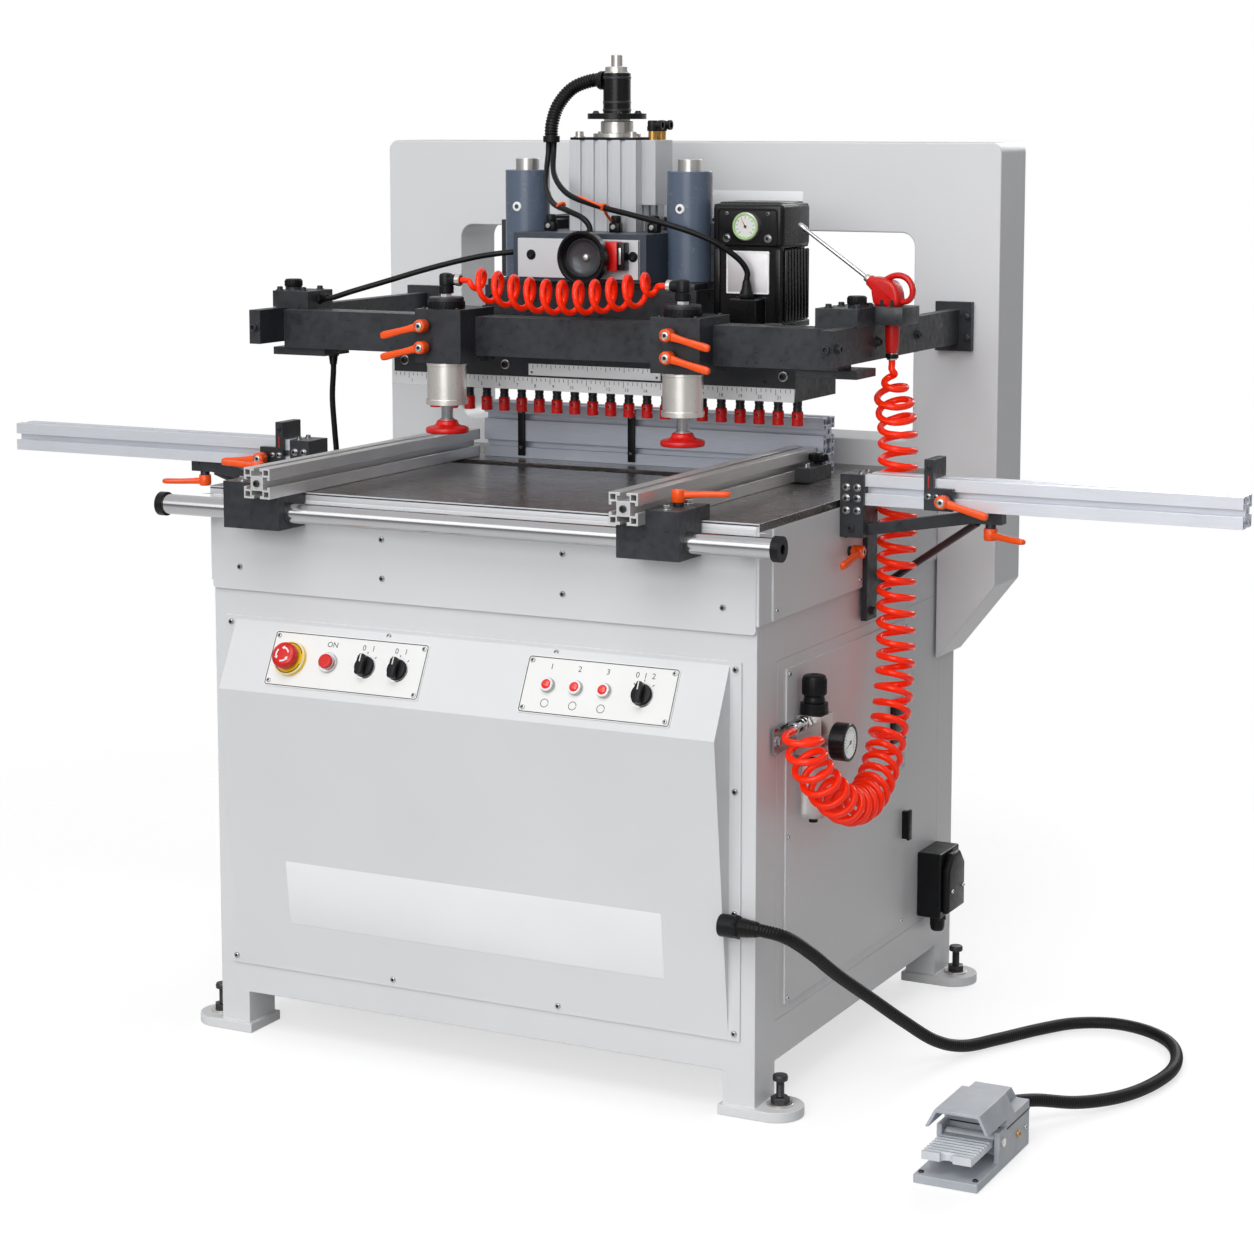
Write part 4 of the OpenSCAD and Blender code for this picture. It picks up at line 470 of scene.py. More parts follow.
def eased(t):
    u = min(max(t, 0), 1)
    return u * u * (3 - 2 * u)


def hose(name, line, diameter, cad_node, mat=RUBBER, slot="black_rubber", pitch=0.0,
         depth=0.0, sides=14, blend=None):
    """A cord along line. pitch and depth give a corrugated hose its rings."""
    s = Shape()
    if pitch:
        count = max(1, round(length_of(line) / pitch))
        fine = evenly(line, count * 4)
        ring = [0, depth * 0.55, depth, depth * 0.55]
        s.tube(fine, [diameter / 2 - ring[k % 4] for k in range(len(fine))], mat, sides)
    else:
        s.tube(line, diameter / 2, mat, sides)
    o = s.piece(name, None if blend else "frame", (cad_node,), slot, smooth=60)
    if blend:
        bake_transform(o)


foot_route = [(440.3, -420, 285), (455.3, -420, 285), (470.3, -420, 285), (502, -396, 272), (516, -340, 236),
              (526, -270, 188), (545, -190, 134), (568, -110, 78), (592, -45, 34), (618, 8, 14), (650, 70, 11),
              (690, 142, 11), (730, 196, 11), (785, 222, 11), (842, 210, 11), (888, 170, 11), (916, 110, 11),
              (926, 40, 11), (914, -40, 11), (888, -105, 12), (850, -165, 18), (808, -213, 30), (783, -254.7, 36),
              (783, -269.7, 36), (783, -284.7, 36)]
hose("foot_hose_cover", evenly(smooth_route(foot_route, 10), 260), 19, "foot_hose", pitch=4.2,
     depth=0.9, sides=18)

# Curly air hose: a helix round the hanging axis, drawn in at the gun
air_axis = [(512, -50, 1044), (512, -50, 1024), (512, -40, 990), (512, -26, 950), (512, -22, 900), (512, -22, 820),
            (512, -22, 740), (512, -22, 660), (514, -28, 590), (518, -54, 520), (523, -98, 464), (527, -152, 430),
            (528, -206, 422), (526, -258, 436), (516, -302, 470), (504, -328, 510), (498, -336, 548)]
AIR_CURLS, CURL_STEPS, AIR_CURL_R = 38, 24, 25
AIR_COUNT = AIR_CURLS * CURL_STEPS
air_line = evenly(smooth_route(air_axis, 8), AIR_COUNT)
air_path = [Vector((512, -50, 1054))]
for i, c in enumerate(air_line):
    t = (air_line[min(i + 1, len(air_line) - 1)] - air_line[max(i - 1, 0)]).normalized()
    u = (Vector(RIGHT) - t.x * t).normalized()
    a = radians(180 + 360 * (i - AIR_COUNT) / CURL_STEPS)
    r = AIR_CURL_R * eased(i / AIR_COUNT / 0.06)
    air_path.append(c + r * (cos(a) * u - sin(a) * t.cross(u)))
air_path += [air_path[-1] + Vector((0, 5, 0)), Vector((air_path[-1].x, -313, air_path[-1].z))]
hose("air_hose_coil", air_path, 10, "air_hose", HOSE, "orange_hose")

# Curly hose between the clamps, in two halves, each baked where it is drawn
clamp_from, clamp_to, clamp_lead = Vector((-139, -178, 1156)), Vector((209, -178, 1156)), Vector((9, 0, 0))
CLAMP_COUNT, CLAMP_CURL_R, CLAMP_SAG = 12 * CURL_STEPS, 22.5, 22
clamp_path = [clamp_from]
for i in range(CLAMP_COUNT + 1):
    s = i / CLAMP_COUNT
    a = tau * i / CURL_STEPS
    r = CLAMP_CURL_R * eased(s / 0.1) * eased((1 - s) / 0.1)
    c = clamp_from + clamp_lead + (clamp_to - clamp_from - 2 * clamp_lead) * s
    clamp_path.append(c - Vector((0, 0, CLAMP_SAG * sin(pi * s))) + r * Vector((0, -sin(a), cos(a))))
clamp_path.append(clamp_to)
middle = len(clamp_path) // 2
clamp_mid = (clamp_from + clamp_to) / 2
for side, line, end in (("left", clamp_path[:middle + 1], clamp_from),
                        ("right", clamp_path[middle:][::-1], clamp_to)):
    hose(f"{side}_clamp_coil", line, 9, f"{side}_clamp_hose", HOSE, "orange_hose",
         blend=(f"{side}_carrier", clamp_mid, end))

TIE = (38, -49.5, 1264.8)
conduit_route = [(-22, 70, 1458), (-44, 70, 1458), (-74, 62, 1446), (-92, 48, 1420), (-98, 38, 1390), (-98, 36, 1366)]
motor_route = [(-93, 36, 1366), (-93, 34, 1346), (-78, 8, 1312), (-38, -24, 1284), (20, -46, 1268), (90, -56, 1254),
               (160, -54, 1238), (214, -40, 1218), (250, -24, 1192), (263, -16, 1172.3), (263, -16, 1157.3),
               (263, -16, 1142.3)]
cable_routes = {
    "horn_cable": [(-103, 36, 1366), (-103, 35, 1346), (-98, 20, 1318), (-82, -10, 1292), (-52, -45, 1270),
                   (-14, -70, 1260), (18, -80, 1249), (30, -80, 1235), (30, -80, 1215)],
    "side_cable": [(-115, -20, 1192), (-136, -21, 1192), (-190, -40, 1184), (-260, -64, 1166), (-330, -88, 1144),
                   (-380, -108, 1128), (-414, -116, 1117), (-433, -116, 1116)],
    "drop_cable": [(-410, -116, 1028), (-410, -116, 1004), (-414, -114, 960), (-412, -112, 910), (-410, -110, 870),
                   (-410, -110, 848)],
}
hose("conduit", smooth_route(conduit_route, 12), 22, "head_cables", pitch=4.6, depth=1.3, sides=20)
for name, points in cable_routes.items():
    hose(name, smooth_route(points, 10), 9, "head_cables")
hose("motor_cable_run", smooth_route(motor_route, 10), 9, "motor_cable", blend=("head", TIE, motor_route[-1]))


# Finishes of the CAD nodes that stay in view: a material by place on the node, and eased edges
def paint(name, default, rules=(), ease=0.8):
    """rules: (test of a face's centre in mm and its normal, material), the first that holds wins.
    ease is the width of the rounded edges, kept below the node's narrowest lands so that no face folds over."""
    o = nodes[name]
    mesh = o.data
    mats = [default]
    for _, mat in rules:
        if mat not in mats:
            mats.append(mat)
    mesh.materials.clear()
    for mat in mats:
        mesh.materials.append(mat)
    for p in mesh.polygons:
        c, n = p.center * 1000, p.normal
        p.material_index = next((mats.index(mat) for test, mat in rules if test(c, n)), 0)
        p.use_smooth = True
    if "custom_normal" in mesh.attributes:
        mesh.attributes.remove(mesh.attributes["custom_normal"])
    o.modifiers.new("weld", "WELD").merge_threshold = 0.00001
    flat = o.modifiers.new("flat", "DECIMATE")
    flat.decimate_type = "DISSOLVE"
    flat.angle_limit = radians(0.6)
    flat.delimit = {"MATERIAL"}
    bevel = o.modifiers.new("ease", "BEVEL")
    bevel.width = ease * MM
    bevel.segments = 2
    bevel.limit_method = "ANGLE"
    bevel.angle_limit = radians(24)
    bevel.harden_normals = True
    bevel.use_clamp_overlap = False


def between(lo, hi):
    return lambda c, n: all(a - 0.05 <= v <= b + 0.05 for a, v, b in zip(lo, c, hi))


FAR = 9999
SIDES = (("left", -1), ("right", 1))
FENCE_X = {"left": -304, "right": 296}
for name, mat, ease in (
        ("base_frame", PAINT, 1.6), ("front_cover", PAINT, 1.0), ("table_housing", PAINT, 1.0),
        # The rear fence's aluminium is darkened with painted shade
        ("side_panels", PAINT, 0.6), ("portal_frame", PAINT, 2.6), ("rear_fence", ALUMINIUM_SHADED, 0.4),
        ("extension_rails", ALUMINIUM_X, 0.4), ("hold_down_frame", IRON, 0.5),
        ("head_bracket", IRON, 1.2), ("rail_supports", IRON, 0.6), ("guide_housings", SLATE, 1.4),
        ("guide_rods", TURNED, 1.0), ("depth_knob", TURNED, 0.8), ("control_panels", PANEL, 0.4),
        ("inlet_fittings", BLACK, 2.4), ("treadle", TREADLE, 0.4), ("motor", GLOSS, 2.0)):
    paint(name, mat, ease=ease)
paint("service_cover", PAINT, [(between((455.2, -FAR, 270), (FAR, FAR, 330)), BLACK)], 0.6)
paint("table_plate", TABLE, [(lambda c, n: n.y < -0.9 and c.y < -391, SCALE)], 0.9)
paint("guide_bar", CHROME, [(lambda c, n: abs(c.x) > 499.6, BLACK), (lambda c, n: c.y > -424.5, STEEL)], 0.1)
paint("head_yoke", YOKE, [(lambda c, n: c.y < -58.2 and c.z > 1150, SCALE)], 1.0)
paint("air_cylinder", ALUMINIUM_Z, [
    (lambda c, n: c.x > 58.5 and c.z < 1366.5, VALVE),
    (lambda c, n: c.x > 58.5, BRASS),
    (lambda c, n: c.z > 1398.5, GLOSS),
    (lambda c, n: c.z > 1366.2, TURNED)], 0.6)
paint("regulator_body", TURNED, [
    (lambda c, n: c.z > 558.2 and c.x < 505, BLACK),
    (lambda c, n: c.x > 498, BLACK),
    (lambda c, n: c.z < 499.8 and c.x > 456.2, BOWL),
    (lambda c, n: c.x < 459.1, CHROME),
    (lambda c, n: c.y < -267.5, CHROME)], 0.5)
paint("pedal_housing", PEDAL, [(lambda c, n: c.y > -304.5 and c.z > 20, BLACK)], 1.2)
# The gearbox's lower front strip, a scale, is brightened with painted light
paint("gearbox", IRON, [(lambda c, n: c.y < -30.2 and c.z < 998.5, STRIP_LIT)], 0.5)
for side, x in FENCE_X.items():
    paint(f"{side}_fence", IRON, [(between((x - 22.6, -FAR, 848.25), (x + 22.6, FAR, FAR)), ALUMINIUM)], 0.6)
    paint(f"{side}_stop", IRON, ease=0.8)
    paint(f"{side}_clamp_carrier", IRON, [
        (lambda c, n: c.z < 1029.9, BARREL),
        (lambda c, n: c.z > 1112.2, BLACK)], 0.5)

# Sloping control panel
TILT = radians(27.03)
PLATES = ((-200, 268), (220, 242))
ESTOP_X, START_X, SELECTOR_X, LAMP_X = -296, -230, (-167, -111, 289), (140, 185, 230)
PLATE_TOP, MARK_TOP = 2.0, 2.15


def on_fascia(x, up=0.0, out=0.0):
    """Local x to the right, y up the slope and z out of it."""
    y, z = Vector((0, sin(TILT), cos(TILT))), Vector((0, -cos(TILT), sin(TILT)))
    return axes(RIGHT, y, z, Vector((x, -417, 598)) + y * up + z * out)


s = Shape()
for x, w in PLATES:
    s.frame_line(w - 3, 83, 4, 1.3, 1.9, 2.3, INK, on_fascia(x))
    for sx, sy in product(BOTH, BOTH):
        s.screw(on_fascia(x + sx * (w / 2 - 8), sy * 35, 2), 3.6, 2)
for x, words in zip((START_X, *SELECTOR_X[:2], *LAMP_X, SELECTOR_X[2]),
                    ("ON", "0   1", "0   1", "1", "2", "3", "0  1  2")):
    s.text(words, 12, INK, on_fascia(x, 28, 2.05))
for x in LAMP_X:
    s.prism(arc(5.4, 6.4, 0, 350, 24), PLATE_TOP, MARK_TOP, INK, on_fascia(x, -26, 0))
for x in SELECTOR_X:
    s.lathe([(18.5, 2.0), (18.5, 2.5), (16.6, 2.5)], CHROME, on_fascia(x), 40)
    for a in (-45, 0, 45):
        s.prism([(-0.6, 19.6), (0.6, 19.6), (0.6, 23), (-0.6, 23)], PLATE_TOP, MARK_TOP, INK,
                turned(on_fascia(x), radians(a)))
s.lathe([(26.3, 2), (26.3, 7.2), (24.8, 10.2), (12, 10.2)], YELLOW, on_fascia(ESTOP_X), 48)
for a in (20, 200):
    s.prism(arc(22.2, 23.6, a, a + 140, 20), 10.2, 10.4, INK, on_fascia(ESTOP_X))
s.lathe([(15.3, 2), (15.3, 6.2), (14.2, 7.4), (11.8, 7.4), (11.4, 6.4)], CHROME, on_fascia(START_X), 40)
for x in LAMP_X:
    s.lathe([(11, 2), (11, 6.4), (10, 8.2), (8.4, 8.2), (8.0, 7.2)], CHROME, on_fascia(x), 36)
    s.lathe([(8.0, 7.2), (7.8, 9.4), (6.2, 11.2), (3.2, 12.2), (0, 12.5)], LAMP, on_fascia(x), 32)
s.piece("panel_fittings", "frame", slot="panel_white")

s = Shape()
m = on_fascia(ESTOP_X)
s.lathe([(6.9, 2.2), (6.9, 15.3), (12, 15.3), (18.6, 16), (20, 17.6), (20, 23.4), (19.2, 25.8), (16.6, 27.8),
         (12, 28.5), (0, 28.7)], RED, m, 48)
for a in (20, 140, 260):
    t = radians(a + 62)
    tip = [(r * cos(b), r * sin(b)) for r, b in ((7.4, t), (13.4, t), (10.4, t + 0.42))]
    for outline in (arc(9.2, 11.6, a, a + 62), tip):
        s.prism(outline, 28.2, 28.8, PANEL, m)
s.piece("estop_mushroom", "estop", ("estop_button",), "red_plastic")

s = Shape()
s.lathe([(0, 5.4), (6, 5.4), (6, 10.2), (10.9, 10.3), (10.9, 13.6), (10.2, 14.9), (8.6, 15.4), (4, 15.0), (0, 14.9)],
        RED, on_fascia(START_X), 40)
s.piece("start_cap", "start", ("start_button",), "red_plastic")

SELECTOR_BAR = [(5.5 * a, b) for a, b in ((-0.72, -15.6), (0.72, -15.6), (1, -13), (1, 9), (0.5, 15.4), (-0.5, 15.4),
                                          (-1, 9), (-1, -13))]
for i, x in enumerate(SELECTOR_X, 1):
    s = Shape()
    m = on_fascia(x)
    s.lathe([(16, 2.4), (16, 5.2), (14.8, 7.6), (11.6, 8.3), (0, 8.3)], BLACK, m, 40)
    s.prism(SELECTOR_BAR, 7.5, 20.2, BLACK, m, 1.2)
    s.box((-0.9, 3, 20.0), (0.9, 14.6, 20.5), PANEL, 0.2, m)
    s.piece(f"selector_knob_{i}", f"selector_{i}", (f"selector_{i}",), "black_plastic")

# Cover screws and levelling bolts
COVER_Y, HOUSING_Y = -392, -394
s = Shape()
PANEL_Z = (134, 384, 634)
for xs, y, zs in (((-421, 421), COVER_Y, (121, 294, 469, 642)), ((-140, 140), COVER_Y, (121, 642)),
                  ((-150.7, 150.7), HOUSING_Y, (727.8, 785.8)), ((-402, 402), HOUSING_Y, 727.8)):
    each(s.screw, FRONT, xs, y, zs, 4.6, 3)
each(s.screw, BACK, (-380, 0, 380), 389, PANEL_Z, 4.6, 2.6)
each(s.screw, LEFT, -452, (-306, 306), PANEL_Z, 4.6, 2.6)
for y, zs in ((-284, (148, 384, 620)), (160, (148, 620))):
    each(s.screw, RIGHT, 455, y, zs, 3.6, 2.2)
for x, axis in ((459, RIGHT), (-459, LEFT)):
    each(s.screw, axis, x, (-340, -36), (720, 820), 3.6, 2.2)
thread = [(6, 0.5)]
for k in range(13):
    thread += [(5.3, 27 + k * 1.7), (6, 27.8 + k * 1.7)]
thread += [(6, 50), (10.4, 50.6), (11, 51.6), (11, 56.6), (9.8, 58.8), (6, 59.4), (0, 59.4)]
for sx, sy in product(BOTH, BOTH):
    m = stand((476 * sx, 354 * sy, 0), spin=rng.uniform(0, 60))
    s.lathe([(19, 15), (19, 17.2), (18, 18), (12, 18)], TURNED, m, 36)
    s.prism(circle(13.6, 6), 17.6, 27, STEEL, m, 0.8)
    s.lathe(thread, STEEL, m, 28)
s.piece("cover_screws", "frame", ("fasteners",), "dark_steel")

# Bare plates where the photo shows printed ones
s = Shape()
low, high = (Vector((0, COVER_Y - 50 * (z - 116) / 433, z)) for z in (187, 286))
up = (high - low).normalized()
s.prism(round_rect(632, 99, 2), -0.2, 0.5, PALE, axes(RIGHT, up, (0, -up.z, up.y), (low + high) / 2), 0.2)
s.prism(round_rect(159, 23, 1.5), 0, 0.8, PALE, to_front(141.5, 292, 1271.5), 0.2)
s.piece("bare_plates", "frame", slot="panel_white")

# Clamp levers: place, tilt about x and y, turn
LEVERS = {
    "left_upper_lever": ((-185, -205, 1087.4), 90, 0, 194), "left_lower_lever": ((-185, -205, 1054.6), 90, 0, 194),
    "right_upper_lever": ((230, -205, 1087.4), 90, 0, -14), "right_lower_lever": ((230, -205, 1054.6), 90, 0, -14),
    "left_fence_lever": ((-352.5, -416.67, 868.3), 0, 0, 170),
    "right_fence_lever": ((344.5, -416.67, 868.3), 0, 0, 20),
    "left_stop_lever": ((-541, -118.3, 857), 90, 0, 187), "right_stop_lever": ((624, -118.3, 857), 90, 0, -14),
    "left_support_lever": ((-681, -87.5, 824), 180, 0, 160),
    "right_support_lever": ((681, -87.5, 824), 180, 0, 30),
    "side_lever": ((459, -78, 768), 0, 90, -80),
}
# The grip's sections: x, width, height and the height of their middle
GRIP = ((3, 13.4, 10.6, 16.2), (11, 12.4, 10.4, 16.6), (22, 10.6, 9.4, 17.2), (36, 10.2, 8.8, 17.8),
        (50, 11.2, 8.8, 18.0), (61, 12.0, 8.8, 18.0), (67, 11.6, 8.4, 18.0), (70.4, 9.4, 7.2, 18.0),
        (71.8, 5.6, 4.6, 18.0))


def squared(v):
    return copysign(abs(v) ** 0.62, v)


for name, (place, tilt_x, tilt_y, spin) in LEVERS.items():
    rx, ry = Matrix.Rotation(radians(tilt_x), 4, "X"), Matrix.Rotation(radians(tilt_y), 4, "Y")
    m = turned(Matrix.Translation(Vector(place)) @ ry @ rx, radians(spin))
    s = Shape()
    s.lathe([(7.4, 0.4), (7.6, 1.2), (7.6, 6.4), (9.2, 6.4)], STEEL, m, 28)
    s.lathe([(9.2, 6.4), (9.9, 7.2), (10, 20.6), (9.4, 22.8), (8.2, 24.1), (6.6, 24.3)], ORANGE, m, 32)
    s.lathe([(6.6, 24.3), (6.4, 22.8), (5.8, 22.7), (5.6, 24.0), (4.8, 24.5), (2.6, 24.5)],
            [ORANGE] + [TURNED] * 4, m, 28)
    # Painted shade in the cap's socket
    s.lathe([(2.6, 24.5), (2.5, 23), (0, 22.9)], RECESS_SHADE, m, 6)
    part = bmesh.new()
    skin(part, [[part.verts.new((x, wide / 2 * squared(c), rise + tall / 2 * squared(d))) for c, d in circle(1, 16)]
                for x, wide, tall, rise in GRIP])
    s.take(part, ORANGE, m)
    s.piece(f"{name}_handle", name, (name,), "orange_plastic", smooth=50)

# Spindle row: red sleeves on black stems, with open drill sockets in painted shade
SPINDLE_X = [-320 + 32 * k for k in range(21)]
s = Shape()
for x in SPINDLE_X:
    m = stand((x, 48, 0), spin=rng.uniform(0, 360))
    s.lathe([(5.05, 952), (5.05, 934.6), (5.6, 934), (8.3, 934), (9, 934.8), (9, 942), (8.5, 942.5), (8.5, 943.5),
             (9, 944), (9, 954.6), (8.2, 956), (7, 956)], [RECESS_SHADE] + [SLEEVE] * 10, m, 28)
    s.lathe([(0, 952), (5.05, 952)], RECESS_SHADE, m, 28)
    s.lathe([(7, 956), (7, 962), (6.4, 962.6), (6.4, 964.2), (7, 964.8), (7, 978)], STEEL, m, 24)
    s.lathe([(8.6, 974.5), (8.6, 978)], TURNED, m, 24)
    s.screw(to_front(x, 39.2, 949), 1.9, 0.9, STEEL, 12)
s.piece("spindle_row", "head", ("spindles",), "spindle_red")

# Scales on the gearbox front, with its screws
s = Shape()
for k in range(-43, 44):
    s.box((8 * k - 0.35, -34.25, 997 - (5 if k % 4 else 9)), (8 * k + 0.35, -33.9, 997), INK, 0)
for k, x in enumerate(SPINDLE_X, 1):
    s.text(str(k), 7.5, INK, to_front(x + 5.5, -34.05, 984.5))
# The upper scale strip, brightened with painted light
s.box((-104, -31.0, 1001), (126, -29.8, 1019), STRIP_LIT, 0.3)
for k in range(-12, 16):
    s.box((8 * k - 0.35, -31.25, 1018 - (4 if k % 4 else 7)), (8 * k + 0.35, -30.9, 1018), INK, 0)
each(s.screw, FRONT, (-98, 120), -31, 1006, 2.2, 1.4)
each(s.cap_bolt, FRONT, (-330, -146, 152, 330), -30, 1016, 5.4, 5, STEEL, TURNED)
each(s.cap_bolt, UP, (-330, -270, -210, 340), -10, 1034, 5, 6)
each(s.cap_bolt, FRONT, (-170, 170), -26, 1122, 5, 5)
s.box((-180, -24, 1139.4), (180, 98, 1149.6), IRON, 0.8)
s.piece("gearbox_scale", "head", slot="profile_aluminium")

# Yoke plate screws, guide housing plugs, horn switch and push-in fittings
s = Shape()
each(s.cap_bolt, FRONT, (-80, 96), -64, 1191, 5.6, 4, BLACK)
for x in (-142, 142):
    n = to_front(x, 3.4, 1262)
    s.lathe([(7.6, -1), (7.6, 0.9), (6.6, 1.8), (3.6, 1.8)], PALE, n)
    # Painted shade in the plug's socket
    s.lathe([(3.6, 1.8), (3.5, 0.4), (0, 0.3)], RECESS_SHADE, n, 6)
s.box((55, -84, 1170), (78, -63.6, 1214), RED, 1.6)
s.box((77, -82, 1171), (89, -63.6, 1213), GLOSS, 1.4)
s.box((80, -82.6, 1180), (84, -81.6, 1205), TURNED, 0.3)
for x, y in ((-84, 8), (34, 0), (96, 8)):
    s.box((x - 9, y - 8, 1224.6), (x + 9, y + 8, 1240), BLACK, 2.5)
    s.lathe([(7.6, 0), (8, 1), (8, 9), (6.6, 11.6), (0, 12.4)], BLACK, to_top(x, y, 1239), 28)
    s.lathe([(4, 0), (4, 3), (3.2, 4), (0, 4.2)], TURNED, to_front(x, y - 8, 1233), 20)

# Orange cable ties: the motor cable's is held on the yoke, the horn cable's has a short tail
for p, q, tail in ((TIE, (72, -54, 1257.6), ((-4, -7, 4), (-20, -10, 10), (-38, -12, 17))),
                   ((-33, -57.5, 1265), (-14, -70, 1260), ((3, -3, 5), (9, -4, 6)))):
    p = Vector(p)
    n = stand(p, Vector(q) - p)
    s.lathe([(5.1, -2.6), (5.8, -2.2), (5.8, 2.2), (5.1, 2.6)], ORANGE, n, 28)
    s.box((-3.4, 4.6, -3.4), (3.4, 9.4, 3.4), ORANGE, 0.9, n)
    line = smooth_route([p + Vector(v) for v in ((0, -5.4, 2), *tail)], 5)
    s.tube(line, [2.6 - 1.3 * k / (len(line) - 1) for k in range(len(line))], ORANGE, 10)
s.tube(smooth_route([Vector(TIE) + Vector((0, 4, -3)), (37, -38, 1254), (34, -16, 1243)], 6), 2.2, ORANGE, 10)
s.piece("yoke_fittings", "frame", slot="dark_steel")

# Warning horn with a flared bell
s = Shape()
m = to_front(30, -64, 1190)
s.lathe([(24, 0), (25, 1.4), (25, 9), (23.6, 10), (23.6, 12), (25, 13), (25, 24), (27.2, 27), (33, 29.2), (39.4, 30.2),
         (41, 31.6), (41, 44.4), (39.8, 46), (37, 46), (35.4, 44.6), (33.4, 40), (31, 36.4), (29.4, 35)],
        GLOSS, m, 56)
s.lathe([(29.4, 35), (28.8, 35.8), (27.8, 35.8), (27.2, 34.6)], STEEL, m, 56)
s.lathe([(27.2, 34.6), (26, 32.4), (21, 29.6), (13, 27.6), (6.4, 27)], DISH, m, 56)
s.lathe([(6.4, 27), (6, 29.4), (4.6, 31.2), (2.4, 32), (0, 32.2)], TURNED, m, 28)
s.piece("horn_bell", "frame", ("warning_horn",), "black_plastic")

# Clamps: feet with turned rods, carrier screws, barrel bands and hose elbows
CLAMP_Y = -178
for side, x, inward in (("left", -165, RIGHT), ("right", 235, LEFT)):
    s = Shape()
    m = to_top(x, CLAMP_Y, 0)
    s.lathe([(0, 922), (30.4, 922), (32.2, 922.8), (33, 924.4), (33, 928.2), (32.2, 930), (30, 931.2), (25, 932.2),
             (21, 933.4), (18.2, 935.2), (16.8, 937.4), (16.2, 939.6), (15, 941.2), (13.4, 941.8), (9, 941.8)],
            RED, m, 56)
    s.lathe([(9, 941.6), (9, 1094), (0, 1094.6)], CHROME, m, 36)
    s.lathe([(11.2, 941.7), (11.2, 943.4), (10.4, 944.2), (9, 944.2)], TURNED, m, 36)
    s.piece(f"{side}_clamp_pad", f"{side}_foot", (f"{side}_clamp_foot",), "red_plastic")

    s = Shape()
    s.lathe([(30.2, 1025), (30.9, 1025.6), (30.9, 1029.4), (30.2, 1030)], BARREL, m, 64)
    s.lathe([(10.5, 965.8), (10.5, 964.4), (12.6, 964), (13.6, 964.6), (13.6, 966.2)], STEEL, m, 36)
    each(s.screw, UP, (x - 29, x + 29), (-196, -112), 1112, 3.6, 2.4, STEEL)
    s.lathe([(27, 1124), (27, 1128), (25.6, 1130), (10, 1130)], STEEL, m, 40)
    for t in turns(m, 28):
        s.box((-1.1, 27.2, 1113.4), (1.1, 28.7, 1122.6), BLACK, 0.3, t)
    s.prism(circle(9.4, 6), 1129, 1135, SCALE, m, 0.6)
    s.lathe([(10.4, 1135), (11.6, 1136.4), (11.6, 1146), (9.6, 1148)], BLACK, m)
    s.lathe([(9.6, 1147), (10.6, 1148.4), (10.6, 1162), (9, 1165), (5, 1166.4), (0, 1166.6)], BLACK, m)
    s.lathe([(8.4, 6), (8.4, 17), (7.6, 18), (9.4, 18.6), (9.4, 24.6), (8.4, 26), (5.2, 26)],
            [BLACK] * 2 + [TURNED] * 4, stand((x, CLAMP_Y, 1156), inward), 28)
    s.piece(f"{side}_carrier_fittings", f"{side}_carrier", slot="dark_steel")

# Motor: gauge, bare plate, screws and cooling ribs
MOTOR_X = 257.5
s = Shape()
m = to_front(MOTOR_X, -8, 1238)
s.lathe([(21, -8), (21.6, -6), (21.6, 2.2), (21, 3.4), (20, 4)], TURNED, m, 48)
s.lathe([(20, 4), (17.2, 4), (16.6, 1.6)], GREEN, m, 48)
s.dial(m, 16.6, 1.6, 11, (11, 12.4, 15.4),
       ([(-3.5, -0.9), (-3.5, 0.9), (12.6, 0.25), (12.6, -0.25)], RED, 118, 2.2))
s.lathe([(17, 3.2), (12, 3.9), (0, 4.2)], GLASS, m, 40)
s.box((199, -3, 1205), (316, 103, 1271.8), GLOSS, 8, segments=4)
s.box((207, 6, 1268), (308, 94, 1274.2), GLOSS, 3, segments=3)
s.frame_line(101, 55, 7, 3, -0.6, 1.4, GLOSS, to_front(MOTOR_X, -3, 1237.5))
each(s.screw, FRONT, (224, 292), -3, 1257, 3.2, 2)
each(s.cap_bolt, FRONT, (224, 292), -3, 1220, 4.6, 4, CHROME)
m = to_front(MOTOR_X, 0, 1168.5)
s.prism(round_rect(71, 65, 2), -0.2, 0.7, LABEL, m, 0.2)
s.frame_line(70, 64, 2, 2.2, 0.6, 1.1, PALE, m)
for x in (203, 303):
    s.box((x, -3, 1094), (x + 9, 1, 1204), GLOSS, 1.4)
RIB_PITCH = 11.6
for k, x in product(range(8), (313.4, 197)):
    y = 7 + RIB_PITCH * k
    s.box((x, y, 1096), (x + 4.6, y + 6, 1203), GLOSS, 1.6)
for k in range(9):
    x = 207 + RIB_PITCH * k
    s.box((x, 99.4, 1096), (x + 6, 103.6, 1203), GLOSS, 1.6)
s.box((199, -2, 1084), (316, 102, 1094), GLOSS, 2)
each(s.hex_bolt, UP, (217, 298), (18, 86), 1034, 11, 7, BRASS)
m = to_top(263, -16, 0)
s.prism(circle(12.2, 6), 1131, 1137, BLACK, m, 0.6)
s.lathe([(10.4, 1137), (9.6, 1141), (8.2, 1142.6), (7, 1150), (5.6, 1157), (4.7, 1158)], RUBBER, m, 28)
s.piece("motor_fittings", "head", slot="black_plastic")

